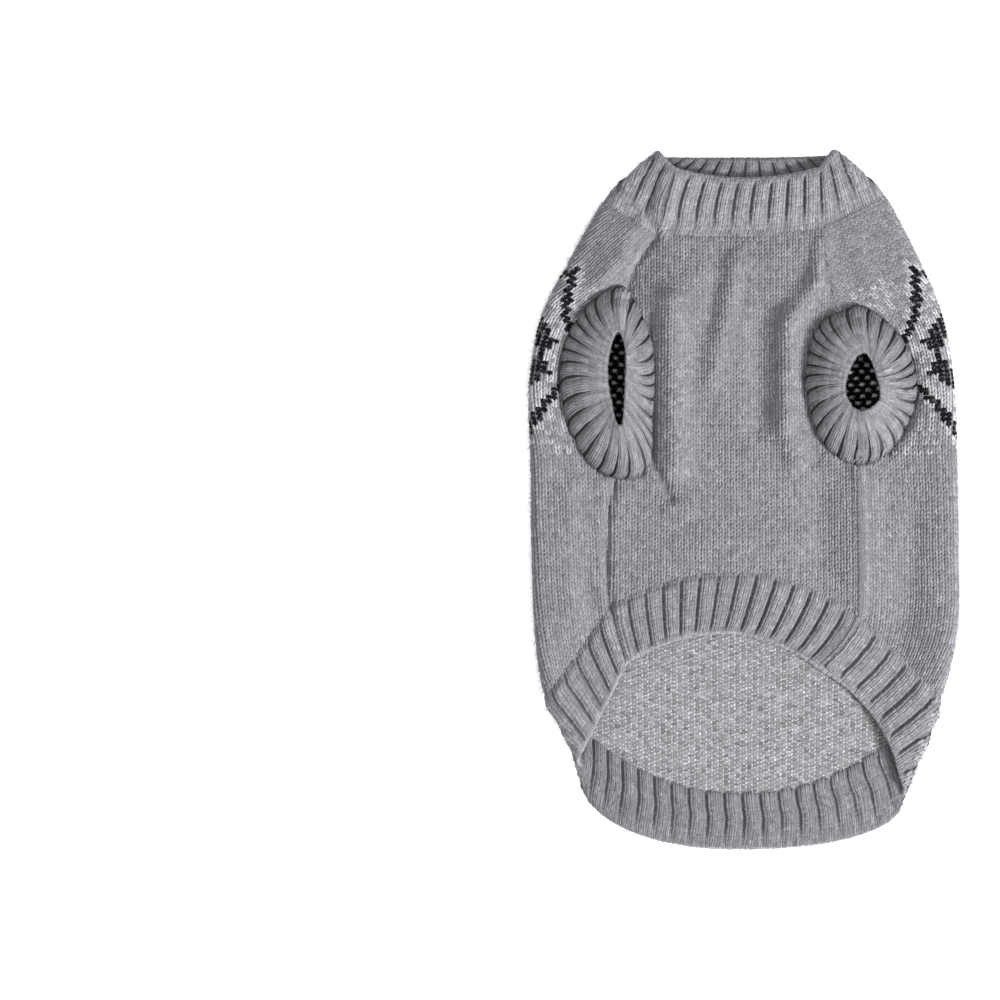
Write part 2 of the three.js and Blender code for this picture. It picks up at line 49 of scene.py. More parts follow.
# Cloth, folds and layers, as in the solids
WALL = 2.4
FOLD_RADIUS = 3.1
LAYER_GAP = 0.6
FOLD_REACH = 16.0
NECK_GAPE = 1.1
HEM_GAPE = 1.0
CUFF_RISE = 9.5
RIB_HEIGHT = 1.9
LOW_MID = WALL / 2
TOP_MID = LOW_MID + WALL + LAYER_GAP
FOLD_TOP = LOW_MID + 2 * FOLD_RADIUS
FOLD_DEPTH = FOLD_RADIUS + WALL / 2

# The shell is thinner than the wall, so that the yarn on it comes to the wall's face
SHELL_HALF = 0.55
YARN_HEIGHT = 0.72
PANEL_YARN = YARN_HEIGHT * 0.9
UNDER_YARN = 0.54
RIB_YARN = YARN_HEIGHT * 0.62
GROOVE_YARN = YARN_HEIGHT * 0.6
FLOOR_CLEARANCE = 0.02

# Gauge of the knit: the height of a course, and the width of a wale at heights of the back
ROW_HEIGHT = 2.06
WALE_HEIGHTS = (-150, -60, 21, 64, 108, 146)
WALE_WIDTHS = (2.85, 2.92, 2.91, 2.80, 2.68, 2.5)

# Ribs on the left flank, left fold, back, right fold and right flank, and on the belly
NECK_BACK_RIBS = (3, 1, 12, 1, 3)
NECK_BELLY_RIBS = 9
HEM_BACK_RIBS = (5, 1, 24, 1, 5)
HEM_BELLY_RIBS = 14
CUFF_RIBS = 26

# The back's curve turns into an arc at the hem and flares there, up to a margin at its ends
ARC_POWER = 2.2
HEM_FLARE = 4.0
FLARE_MARGIN = 0.12

# Points along the runs of a ring, steps round a fold, and steps between a loop's places
FLANK_POINTS = 25
BACK_POINTS = 121
BELLY_POINTS = 61
FOLD_STEPS = 16
LOOP_STEPS = 60
# How far, in rings, a panel or rib ends from the border between them
EDGE_BACK = 0.012

# Rings from the collar's edge to the hem's edge: side folds, side seams, middle of the belly
# and of the back, then how flat the back's curve is and how far it is an arc, how far the
# flanks swell and how far the folds slant.
RING_NAMES = (
    "fold_lx", "fold_ly", "seam_lx", "seam_ly", "belly", "seam_rx", "seam_ry",
    "fold_rx", "fold_ry", "back", "bow", "round", "bulge_l", "bulge_r", "skew",
)
RINGS = np.array([
    (-44, 173.5, -35.5, 164.0, 159, 38.5, 164.5, 46, 174.3, 169.5, 2, 0, 0, 0, 0),
    (-57.5, 162.5, -40, 148.5, 145.5, 38.8, 151, 58, 164.5, 158, 2, 0, 0, 0, 0),
    (-70.5, 149, -44, 131.5, 131.5, 39, 136, 70.5, 152, 146, 2, 0, 0, 0, 0),
    (-87.5, 119.5, -55.5, 113.5, 104.5, 41.5, 114.5, 88, 119.5, 109.5, 2.2, 0, 0, 0, 0),
    (-101.5, 92, -60, 88.5, 79.5, 48, 87, 99.5, 92, 77, 2.2, 0, 0, 0, 0),
    (-107.8, 57, -63, 57, 52, 57.5, 55.5, 105.6, 57, 44.5, 2.2, 0, 0, 0, 0),
    (-107, 19.5, -62.5, 20.5, 24.5, 57.5, 22, 107, 19.5, 9.5, 2.2, 0, 0, 0, 0),
    (-106.5, -20.5, -68, -10.5, 0.5, 59, -10.5, 107.65, -20.5, -38, 2.2, 0, 0, 0, 0),
    (-105, -65.5, -68.5, -34.5, -19.5, 59.5, -38, 107.2, -65.5, -95.5, 2.2, 0, 1, 1, 1),
    (-100, -99.5, -66.5, -53, -36.5, 58, -59, 99, -101, -147.5, 2.2, 0, 0, 1, 6),
    (-92, -114, -63.5, -67, -51, 49.5, -73.5, 92.5, -120.5, -161.5, 2.2, 0.5, 0, 5, 8),
    (-84, -132.5, -59, -81, -66, 39, -84.5, 81.2, -147, -174.3, 2.2, 1, 0, 8, 10),
], dtype=float)
COLLAR_BORDER = 2
HEM_BORDER = 9
LAST_RING = len(RINGS) - 1

# Armholes and cuff rims, from the top round by the right: seam x, y and rim x, y
LEFT_CUFF = np.array([
    (-62, 105.8, -62.5, 83), (-52, 92.5, -59.8, 76), (-47.3, 79.5, -59.2, 67),
    (-45.6, 60.5, -59.6, 57), (-46.6, 39.5, -60, 47), (-48.2, 16, -60.8, 39),
    (-57.5, 10, -62.2, 36), (-68.5, 12, -64.5, 39), (-78.5, 19, -66.6, 47),
    (-86, 33, -68.3, 56), (-90.4, 46.5, -68.8, 64), (-91.5, 60.5, -68, 71),
    (-90, 75, -66.6, 77), (-80.5, 93.5, -64.8, 81.5),
], dtype=float)
RIGHT_CUFF = np.array([
    (54, 95.5, 59.5, 73), (62.5, 94.2, 62.2, 70.5), (71.5, 87.8, 64.6, 65.5),
    (79, 79, 66.4, 60), (84.2, 68, 67.6, 55), (86, 52, 67.6, 50),
    (81.5, 37.5, 65, 46.5), (72.5, 24, 61.5, 44), (62.5, 18.3, 58, 43.2),
    (53.5, 18.3, 54.6, 44.6), (44, 23.5, 51.6, 48.5), (37, 33, 50, 53),
    (32.5, 49, 50.2, 58.5), (31.5, 65, 52, 64.5), (37.5, 86, 55.4, 71),
], dtype=float)

# Soft folds of the top layer: from x, y to x, y, width and height; a trough is negative
SOFT_FOLDS = np.array([
    (-36.5, 98, -35, 18, 7.5, 5.0),
    (-46.2, 92, -45, 16, 2.2, -1.6),
    (-43, 14.4, -36.5, -0.5, 2.2, -2.6),
    (-37, -2, -28, -6, 3.5, 1.2),
    (-12, 118, -17, 88, 5, -1.2),
    (-3.3, 122, -15.8, 59, 5, 2.0),
    (38.5, 128, 35.5, 107, 3.6, 2.6),
    (35.5, 107, 22.5, 89.4, 5, 2.6),
    (21.8, 89.4, 20.5, 39.4, 5, 4.4),
    (20.5, 39.4, 25.5, 19.4, 5, 2.4),
    (8, 86, 8, 36, 6, -1.8),
    (34, 60, 36, 20, 4, -1.2),
    (58, 8, 58, -44, 10, 2.0),
    (-72, 118, -54, 136, 10, 2.2),
    (-44.5, 133, -55.5, 107, 7, -2.2),
    (36, 2, 40, -30, 7, -1.2),
    (-18, -18, 26, -22, 8, 1.0),
    (-30, 112, 26, 124, 6, 0.8),
    (-38, 160, -42, 135, 4, 3.0),
    (-48, 151, -55, 142, 3.5, -1.8),
    (-88, 4, -86, -60, 8, 1.6),
    (-88, -20, -76, -52, 6, -1.0),
    (86, -10, 82, -60, 7, -1.2),
    (54, 130, 66, 104, 5, 1.4),
    (-74, 108, -60, 118, 5, 1.8),
    (84.5, 70, 87, 52, 2.4, -3.6),
    (87, 52, 82, 37, 2.4, -3.6),
    (82, 37, 73, 23.5, 2.4, -2.6),
], dtype=float)

# Courses of the back: height at its middle, at the left fold and seam, at the right ones
COURSES = np.array([
    (146, 149, 131.5, 152, 136),
    (129.5, 136, 114, 138, 117),
    (108, 118.5, 94, 118.5, 96),
    (89.5, 99, 77, 99, 79),
    (64.5, 73.5, 64, 73.5, 65),
    (39.5, 47, 45, 47, 45),
    (21, 26, 25, 26, 25),
    (0, 2, 2, 2, 2),
    (-20, -20, -20, -20, -20),
    (-180, -180, -180, -180, -180),
], dtype=float)

# The band of the back, counted in rows and wales from the middle of each diamond
BAND_CENTRE_Y = 64.3
BAND_ROWS = 24
BAND_REPEAT = 18
ZIGZAG_TOP_ROW = 20.0
ZIGZAG_STEP = 1.58
ZIGZAG_HALF = 1.35
# Where light stitches lie: beside the zigzag, at a diamond's tip and heart, in the gaps between
# diamonds, and in the scattered rows beyond
EDGE_ROWS = 2.2
TIP_ROW = 14
HEART_ROWS = 5
HEART_WALES = 1
GAP_WALE = 5
GAP_ROWS = 4
FAR_ROWS = (15, 22)
# Rows from the middle and the wales between which the dark ring shows
DARK_RING = {
    0: (4, 4), 1: (4, 4), 2: (3, 5), 3: (3, 5), 4: (2, 6), 5: (1, 4), 6: (1, 4),
    7: (0, 3), 8: (0, 2), 9: (0, 1), 10: (0, 0),
}

# Yarn colours, linear
GREY = np.array((0.36, 0.353, 0.379))
MARL = np.array((0.63, 0.63, 0.65))
BLACK = np.array((0.009, 0.009, 0.012))
INSIDE_GREY = np.array((0.54, 0.536, 0.559))
RIB_GREY = np.array((0.365, 0.359, 0.384))
# The shells under the stitches are painted darker than the yarn: painted shade in the gaps between
# the stitches
GAP_SHADE_GREY = (0.23, 0.225, 0.242)
RIB_GAP_SHADE_GREY = (0.2, 0.197, 0.211)


def spline(before, start, end, after, t):
    """A smooth curve through start and end, by the share t between them."""
    slope_start = (end - before) / 2
    slope_end = (after - start) / 2
    drop = start - end
    return (
        ((2 * drop + slope_start + slope_end) * t - 3 * drop - 2 * slope_start - slope_end) * t
        + slope_start
    ) * t + start


def ring_at(row):
    """The named values of a ring, smooth between the rows of the table."""
    row = min(max(row, 0.0), float(LAST_RING))
    k = min(int(row), LAST_RING - 1)
    start, end = RINGS[k], RINGS[k + 1]
    before = RINGS[k - 1] if k > 0 else 2 * start - end
    after = RINGS[k + 2] if k + 2 <= LAST_RING else 2 * end - start
    return dict(zip(RING_NAMES, spline(before, start, end, after, row - k)))


def spot(ring, part, side):
    """The plan point of a ring's fold or seam on one side."""
    letter = "l" if side < 0 else "r"
    return np.array([ring[f"{part}_{letter}x"], ring[f"{part}_{letter}y"]])


SIDES = (-1, 1)
OUTLINE_ROWS = np.linspace(0, LAST_RING, LAST_RING * 8 + 1)
OUTLINE = [ring_at(r) for r in OUTLINE_ROWS]
SIDE_LINES, SEAM_LINES = (
    {side: np.array([spot(ring, part, side) for ring in OUTLINE]) for side in SIDES}
    for part in ("fold", "seam")
)

# Side seams sink into the cloth or stand out of it: side, from y, to y, width, height
SEAM_RELIEF = (
    (-1, 134, 100, 1.7, -2.4),
    (1, 136, 96, 1.6, -0.5),
    (-1, 12, -82, 2.0, -2.2),
    (-1, 16, -56, 5.0, 0.7),
    (1, 20, -82, 1.5, 1.7),
)


def line_distance(points, line):
    """Distance from each point to a polyline, in plan."""
    a = line[:-1]
    d = line[1:] - a
    rel = points[:, None, :] - a[None]
    t = np.clip((rel * d).sum(-1) / (d * d).sum(-1), 0, 1)
    return np.sqrt(((rel - t[..., None] * d) ** 2).sum(-1)).min(1)


def inward_distance(points):
    """Distance from each point to where the nearer side fold ends, in plan."""
    nearest = np.minimum(*(line_distance(points, SIDE_LINES[side]) for side in SIDES))
    return np.maximum(nearest - FOLD_DEPTH, 0)


RIPPLE_HEIGHT = 0.35
RIPPLE_FADE = 10


def wave(a, b, length, sway_length, sway):
    return np.sin(a / length + sway * np.sin(b / sway_length))


def top_height(points, inward=None):
    """Height of the middle of the top layer at plan points."""
    if inward is None:
        inward = inward_distance(points)
    height = TOP_MID + (FOLD_TOP - TOP_MID) * np.exp(-((inward / FOLD_REACH) ** 2))
    for x0, y0, x1, y1, width, rise in SOFT_FOLDS:
        away = line_distance(points, np.array([(x0, y0), (x1, y1)])) / width
        height += rise * np.exp(-(away**2)) * np.minimum(inward / FOLD_REACH, 1)
    for side, first, last, width, rise in SEAM_RELIEF:
        line = SEAM_LINES[side]
        part = line[(line[:, 1] <= first) & (line[:, 1] >= last)]
        height += rise * np.exp(-((line_distance(points, part) / width) ** 2))
    x, y = points[:, 0], points[:, 1]
    ripple = wave(x, y, 13, 31, 1.3) * wave(y, x, 17, 23, 0.8)
    return height + RIPPLE_HEIGHT * ripple * np.minimum(inward / RIPPLE_FADE, 1)


def ease(value):
    """A smooth step from 0 to 1."""
    t = np.clip(value, 0, 1)
    return t * t * (3 - 2 * t)


def top_frames(points, row=None):
    """Places and normals of the top layer at plan points."""
    points = np.asarray(points, dtype=float).reshape(-1, 2)
    probe = 0.6
    inward = inward_distance(points)
    height = top_height(points, inward)
    slope_x = (top_height(points + (probe, 0)) - height) / probe
    slope_y = (top_height(points + (0, probe)) - height) / probe
    if row is not None:
        neck = NECK_GAPE * ease((COLLAR_BORDER - row) / COLLAR_BORDER)
        hem = HEM_GAPE * ease((row - HEM_BORDER) / (LAST_RING - HEM_BORDER))
        height = height + (neck + hem) * ease(inward / FOLD_REACH)
    normal = np.stack([-slope_x, -slope_y, np.ones(len(points))], 1)
    normal /= np.linalg.norm(normal, axis=1)[:, None]
    return np.column_stack([points, height]), normal


def unit(v):
    return v / np.maximum(np.linalg.norm(v, axis=-1, keepdims=True), 1e-9)


def fold_side(row, side):
    """Directions along a side fold and inward from it, in plan."""
    nearby = 0.05
    before, after = (spot(ring_at(row + step), "fold", side) for step in (-nearby, nearby))
    along = unit(after - before)
    inward = np.array([-along[1], along[0]]) * (1 if side < 0 else -1)
    return along, inward


def fold_run(point, along, inward, skew, from_top):
    """Places, normals and how much each faces up, round a side fold."""
    turn = np.linspace(0, 1, FOLD_STEPS + 1)
    if not from_top:
        turn = 1 - turn
    angle = np.pi * (0.5 - turn)
    out = np.cos(angle)
    plan = (
        point
        + inward * (FOLD_DEPTH - FOLD_RADIUS * out)[:, None]
        + along * (skew * (turn - 0.5))[:, None]
    )
    at = np.column_stack([plan, LOW_MID + FOLD_RADIUS * (1 + np.sin(angle))])
    normal = np.column_stack([-inward * out[:, None], np.sin(angle)])
    return at, normal, np.sin(angle)


def flank_plan(seam, end, bulge, side, t):
    """Plan points of a flank from the seam to the fold, swelling outward in its middle."""
    d = end - seam
    length = np.hypot(*d)
    out = 4 * bulge * t * (1 - t) * side
    return seam + d * t[:, None] + np.array([-d[1], d[0]]) / length * out[:, None]


def back_runs(row):
    """Left flank, left fold, back, right fold and right flank of one ring."""
    r = ring_at(row)
    t = np.linspace(0, 1, FLANK_POINTS)
    flanks, folds, lows = [], [], []
    for side in SIDES:
        along, inward = fold_side(row, side)
        fold, half = spot(r, "fold", side), r["skew"] / 2
        end = fold + inward * FOLD_DEPTH
        bulge = r["bulge_l" if side < 0 else "bulge_r"]
        plan = flank_plan(spot(r, "seam", side), end - along * half, bulge, side, t[::-side])
        flanks.append((*top_frames(plan, row), np.ones(len(t))))
        folds.append(fold_run(fold, along, inward, r["skew"], side < 0))
        lows.append(end + along * half)
    low_l, low_r = lows
    share = np.linspace(-1, 1, BACK_POINTS)
    s = np.sin(np.pi / 2 * share)
    x = low_l[0] + (low_r[0] - low_l[0]) * (s + 1) / 2
    flare = HEM_FLARE * ease((row - HEM_BORDER) / (LAST_RING - HEM_BORDER))
    x = x + flare * s * ease((1 - np.abs(share)) / FLARE_MARGIN)
    bowed = np.abs(s) ** r["bow"]
    arched = 1 - np.clip(1 - np.abs(s) ** ARC_POWER, 0, 1) ** (1 / ARC_POWER)
    curve = bowed + (arched - bowed) * r["round"]
    y = r["back"] + (np.where(s < 0, low_l[1], low_r[1]) - r["back"]) * curve
    low = np.column_stack([x, y, np.full(len(s), LOW_MID)])
    down = np.tile((0.0, 0.0, -1.0), (len(s), 1))
    return [flanks[0], folds[0], (low, down, -np.ones(len(s))), folds[1], flanks[1]]


def belly_runs(row):
    """The belly from the right seam to the left one, as the only run of its ring."""
    r = ring_at(row)
    t = np.linspace(0, 1, BELLY_POINTS)
    s = 2 * t - 1
    x = r["seam_rx"] + (r["seam_lx"] - r["seam_rx"]) * t
    y = r["belly"] + (np.where(s < 0, r["seam_ry"], r["seam_ly"]) - r["belly"]) * s * s
    at, normal = top_frames(np.column_stack([x, y]), row)
    return [(at, normal, np.ones(len(t)))]


def lengths_along(at):
    return np.concatenate([[0], np.cumsum(np.linalg.norm(np.diff(at, axis=0), axis=1))])


def interpolate(place, length, values):
    """Rows of values at given lengths along a line."""
    return np.column_stack([np.interp(place, length, column) for column in values.T])


def sample(at, normal, up, place):
    """Points at given lengths along a run of cloth."""
    length = lengths_along(at)
    n = unit(interpolate(place, length, normal))
    return interpolate(place, length, at), n, np.interp(place, length, up)


def joined(runs):
    """One run from several that share their ends."""
    parts = [runs[0]] + [[values[1:] for values in run] for run in runs[1:]]
    return [np.concatenate(values) for values in zip(*parts)]


def back_centre(runs):
    """Length from the left seam to the middle of the back, and to the right seam."""
    lengths = [lengths_along(r[0])[-1] for r in runs]
    middle = runs[2][0]
    half = lengths_along(middle[: len(middle) // 2 + 1])[-1]
    return lengths[0] + lengths[1] + half, sum(lengths)


def rib_steps(count, shares):
    """Fractions of each of some ribs, counted in ribs."""
    return (np.arange(count)[:, None] + shares).ravel()


def rib_places(border_row, counts, shares):
    """Places of ribs from -1 at the left seam to 1 at the right: as on a border, and even."""
    runs = back_runs(border_row)
    places, start = [], 0
    for run, count in zip(runs, counts):
        total = lengths_along(run[0])[-1]
        places.append(start + rib_steps(count, shares) / count * total)
        start += total
    centre, total = back_centre(runs)
    away = np.concatenate(places) - centre
    by_border = away / np.where(away < 0, centre, total - centre)
    evenly = rib_steps(sum(counts), shares) / (sum(counts) / 2) - 1
    return by_border, evenly


def ring_samples(row, belly_count, shares, spacing, shift):
    """Points of a closed ring at fractions of each rib. shift goes from border to even places."""
    runs = back_runs(row)
    centre, total = back_centre(runs)
    by_border, evenly = spacing
    share = by_border + (evenly - by_border) * shift
    place = centre + share * np.where(share < 0, centre, total - centre)
    back = sample(*joined(runs), place)
    belly = belly_runs(row)[0]
    steps = rib_steps(belly_count, shares)
    front = sample(*belly, steps / belly_count * lengths_along(belly[0])[-1])
    return [np.concatenate([back[k], front[k]]) for k in range(3)]


def inside(points, loop):
    """Which plan points lie inside a loop."""
    x, y = points[:, 0][:, None], points[:, 1][:, None]
    x0, y0 = loop[:, 0], loop[:, 1]
    x1, y1 = np.roll(x0, -1), np.roll(y0, -1)
    crosses = (y0 > y) != (y1 > y)
    at = x0 + (y - y0) * (x1 - x0) / np.where(y1 == y0, 1e-9, y1 - y0)
    return (crosses & (x < at)).sum(1) % 2 == 1


def closed_curve(table, columns, count):
    """Evenly spaced points of a smooth loop through the places of a table."""
    n = len(table)
    pts = []
    for place in np.linspace(0, n, LOOP_STEPS * n, endpoint=False):
        k = int(place)
        four = [table[(k + o) % n][columns] for o in (-1, 0, 1, 2)]
        pts.append(spline(*four, place - k))
    ring = np.array(pts + pts[:1])
    length = np.concatenate([[0], np.cumsum(np.hypot(*np.diff(ring, axis=0).T))])
    return interpolate(np.arange(count) / count * length[-1], length, ring)


SEAM_COLUMNS = slice(0, 2)
RIM_COLUMNS = slice(2, 4)
ARMHOLES = [closed_curve(table, SEAM_COLUMNS, 160) for table in (LEFT_CUFF, RIGHT_CUFF)]
CUFF_RIMS = [closed_curve(table, RIM_COLUMNS, 80) for table in (LEFT_CUFF, RIGHT_CUFF)]


def shift_loop(loop, distance):
    along = unit(np.roll(loop, -1, 0) - np.roll(loop, 1, 0))
    return loop + np.column_stack([along[:, 1], -along[:, 0]]) * distance


# Meshes


def place_in_scene(name, data):
    obj = bpy.data.objects.new(name, data)
    bpy.context.scene.collection.objects.link(obj)
    return obj


def add_mesh(name, verts, faces, uv=None, color=None):
    """A mesh from arrays, kept above the floor. Faces are all quads or all triangles."""
    mesh = bpy.data.meshes.new(name)
    corners = faces.shape[1]
    verts[:, 2] = np.maximum(verts[:, 2], FLOOR_CLEARANCE)
    mesh.vertices.add(len(verts))
    mesh.vertices.foreach_set("co", (verts * MM).astype(np.float32).ravel())
    mesh.loops.add(faces.size)
    mesh.loops.foreach_set("vertex_index", faces.astype(np.int32).ravel())
    mesh.polygons.add(len(faces))
    mesh.polygons.foreach_set("loop_start", np.arange(0, faces.size, corners, dtype=np.int32))
    mesh.polygons.foreach_set("use_smooth", np.full(len(faces), True))
    if uv is not None:
        layer = mesh.uv_layers.new(name="OFBake")
        layer.data.foreach_set("uv", uv[faces.ravel()].astype(np.float32).ravel())
    if color is not None:
        layer = mesh.color_attributes.new("yarn", "FLOAT_COLOR", "POINT")
        rgba = np.column_stack([color, np.ones(len(color))])
        layer.data.foreach_set("color", rgba.astype(np.float32).ravel())
    mesh.update(calc_edges=True)
    mesh.validate()
    return place_in_scene(name, mesh)


def quads_between(rows, cols, closed):
    """The faces of a grid of points, joined round both ways if it is closed."""
    j = np.arange(rows if closed else rows - 1)
    i = np.arange(cols if closed else cols - 1)
    jj, ii = np.meshgrid(j, i, indexing="ij")
    j1, i1 = (jj + 1) % rows, (ii + 1) % cols
    return np.stack(
        [jj * cols + ii, jj * cols + i1, j1 * cols + i1, j1 * cols + ii], -1
    ).reshape(-1, 4)


EDGE_ANGLES = (50, 0, -50)


def round_edge(at, out, normal, angles):
    """Rows of points round a free edge of the cloth."""
    turns = [math.radians(angle) for angle in angles]
    return [
        at + out * SHELL_HALF * math.cos(turn) + normal * SHELL_HALF * math.sin(turn)
        for turn in turns
    ]


def tube_shell(name, at, normal, outer, inner, color=None):
    """A closed ring of cloth with rounded free edges. outer and inner are heights per point."""
    rows = [at[j] + normal[j] * outer[j][:, None] for j in range(len(at))]
    rows += round_edge(at[-1], unit(at[-1] - at[-2]), normal[-1], EDGE_ANGLES)
    rows += [at[j] - normal[j] * inner[j][:, None] for j in reversed(range(len(at)))]
    rows += round_edge(at[0], unit(at[0] - at[1]), normal[0], EDGE_ANGLES[::-1])
    faces = quads_between(len(rows), at.shape[1], True)
    return add_mesh(name, np.concatenate(rows), faces, color=color)


def panel_shell(name, at, normal, keep):
    """An open sheet of cloth. keep says which of its cells are there."""
    rows, cols = at.shape[:2]
    outer = (at + normal * SHELL_HALF).reshape(-1, 3)
    inner = (at - normal * SHELL_HALF).reshape(-1, 3)
    cells = quads_between(rows, cols, False)
    mask = keep.ravel()
    faces = [cells[mask], cells[mask][:, ::-1] + rows * cols]
    grid = np.zeros((rows + 1, cols + 1), bool)
    grid[1:-1, 1:-1] = keep
    j, i = np.nonzero(keep)
    # Each neighbour of a cell, and the two corners of the wall that stands where it is missing
    sides = (
        ((-1, 0), (0, 1), (0, 0)),
        ((1, 0), (1, 0), (1, 1)),
        ((0, -1), (0, 0), (1, 0)),
        ((0, 1), (1, 1), (0, 1)),
    )
    walls = []
    for (dj, di), (aj, ai), (bj, bi) in sides:
        bare = ~grid[j + 1 + dj, i + 1 + di]
        a = (j[bare] + aj) * cols + i[bare] + ai
        b = (j[bare] + bj) * cols + i[bare] + bi
        walls.append(np.stack([a, b, b + rows * cols, a + rows * cols], 1))
    faces = np.concatenate(faces + walls)
    verts = np.concatenate([outer, inner])
    used = np.unique(faces)
    remap = np.zeros(len(verts), int)
    remap[used] = np.arange(len(used))
    return add_mesh(name, verts[used], remap[faces])


# A strand swells from its ends to its middle: start of the arc, its span and its power
WIDTH_ARC = (0.18, 0.64, 0.6)
HEIGHT_ARC = (0.1, 0.8, 0.8)


def arc(t, start, span, power):
    return math.sin(math.pi * (start + span * t)) ** power


def leaf(path, half_width, height, sink):
    """One strand of yarn: an arched leaf through the places of a path."""
    points = []
    count = len(path)
    for k, (a, b) in enumerate(path):
        t = k / (count - 1)
        if k in (0, count - 1):
            points.append((a, b, -sink))
            continue
        before, after = np.array(path[k - 1]), np.array(path[k + 1])
        d = (after - before) / np.linalg.norm(after - before)
        w = half_width * arc(t, *WIDTH_ARC)
        points.append((a - d[1] * w, b + d[0] * w, -sink))
        points.append((a, b, height * arc(t, *HEIGHT_ARC)))
        points.append((a + d[1] * w, b - d[0] * w, -sink))
    rings = count - 2
    last = 1 + 3 * rings
    tris = [(0, 2, 1), (0, 3, 2)]
    for k in range(rings - 1):
        o = 1 + 3 * k
        for c in (0, 1):
            tris += [(o + c, o + c + 1, o + c + 4), (o + c, o + c + 4, o + c + 3)]
    tris += [(last - 3, last - 2, last), (last - 2, last - 1, last)]
    return np.array(points), np.array(tris)


def straight(a0, b0, a1, b1, bend, count):
    t = np.linspace(0, 1, count)
    nx, ny = -(b1 - b0), a1 - a0
    sway = bend * np.sin(np.pi * t)
    return [(a0 + (a1 - a0) * k + nx * s, b0 + (b1 - b0) * k + ny * s) for k, s in zip(t, sway)]


def strand(ends, half_width, sink, bend=0.0, count=4, height=1.0):
    return leaf(straight(*ends, bend, count), half_width, height, sink)


def legs_of(a0, b0, a1, b1, half_width, sink, bend=0.0, count=4):
    """The two legs of a stitch, each the mirror of the other."""
    return [
        strand((side * a0, b0, side * a1, b1), half_width, sink, -side * bend, count)
        for side in SIDES
    ]


# Strands in widths and heights of one stitch: ends, half width, sink and bend
KNIT_LEGS = legs_of(0.06, -0.76, 0.32, 0.82, 0.215, 0.22, 0.07, 5)
KNIT_LEGS_PLAIN = legs_of(0.08, -0.66, 0.31, 0.7, 0.235, 0.2)
RIB_LEGS = legs_of(0.19, -0.9, 0.3, 0.92, 0.25, 0.25, 0.02)
CUFF_LEGS = legs_of(0.21, -0.95, 0.25, 0.98, 0.26, 0.2)
BACKING = [strand((0, -0.7, 0, 0.7), 0.58, -0.2, height=0.45)]
DARK_LEGS = KNIT_LEGS_PLAIN + BACKING
PURL_BUMPS = [
    strand((-0.34, 0.2, 0.32, 0.26), 0.36, 0.1, 0.06, 5),
    strand((0.52, -0.74, 0.48, 0.2), 0.28, 0.1, 0.05, 5),
]
DOT = [strand((0, -0.56, 0, 0.56), 0.46, 0.1)]
EDGE_CHAIN = [strand((-0.72, -0.05, 0.72, 0.05), 0.42, 0.5, count=5)]

# How stitches differ: place across and along, lean, thickness and shade
STITCH_JITTER = np.array((0.05, 0.12))
STITCH_LEAN = 0.07
STITCH_HEFT = (0.8, 1.2)
STITCH_SHADE = 0.11
UV_MARGIN = 0.1


def uv_corners(numbers, cells):
    """The corner of each leaf's own cell in the unwrapped square, and how many are in a row."""
    side = int(math.ceil(math.sqrt(cells)))
    return np.column_stack([numbers % side, numbers // side])[:, None], side


# Materials

WOOL = {
    "Roughness": 0.92, "Specular IOR Level": 0.12, "Sheen Weight": 0.02, "Sheen Roughness": 0.5,
}
FLECKS = {"Scale": 1900, "Detail": 1.5}
FLECK_RANGE = {"From Min": 0.3, "From Max": 0.7}


def set_inputs(node, values):
    for name, value in values.items():
        node.inputs[name].default_value = value


def heather_material(name, base=None, strength=0.33):
    """Wool: a base colour, or each stitch's own, flecked finely with lighter and darker fibres."""
    material = bpy.data.materials.new(name)
    material.use_nodes = True
    nodes, links = material.node_tree.nodes, material.node_tree.links
    shader = nodes["Principled BSDF"]
    set_inputs(shader, WOOL)
    coords = nodes.new("ShaderNodeTexCoord")
    noise = nodes.new("ShaderNodeTexNoise")
    set_inputs(noise, FLECKS)
    links.new(coords.outputs["Object"], noise.inputs["Vector"])
    spread = nodes.new("ShaderNodeMapRange")
    set_inputs(spread, FLECK_RANGE | {"To Min": 1 - strength, "To Max": 1 + strength})
    links.new(noise.outputs["Fac"], spread.inputs["Value"])
    scale = nodes.new("ShaderNodeVectorMath")
    scale.operation = "SCALE"
    if base is None:
        source = nodes.new("ShaderNodeAttribute")
        source.attribute_name = "yarn"
        links.new(source.outputs["Color"], scale.inputs[0])
    else:
        scale.inputs[0].default_value = base
    links.new(spread.outputs["Result"], scale.inputs["Scale"])
    links.new(scale.outputs["Vector"], shader.inputs["Base Color"])
    return material


YARN = heather_material("heather_yarn")
# Materials of the shells: painted shade between the stitches
GAP_SHADE = heather_material("heather_gap_shade", GAP_SHADE_GREY, 0.3)
RIB_GAP_SHADE = heather_material("rib_gap_shade", RIB_GAP_SHADE_GREY, 0.45)


def finish_piece(obj, material, node=None):
    """Gives a piece its material and body, and hides the solid of the node that it stands for."""
    obj.data.materials.append(material)
    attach(obj, "root")
    if node:
        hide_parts(node)
    return obj


def heathered(base, count, spread=0.08):
    """Each stitch's own shade of a yarn."""
    shade = 1 + rng.normal(0, spread, (count, 1))
    return np.clip(base * np.clip(shade, 0.7, 1.35), 0, 1)


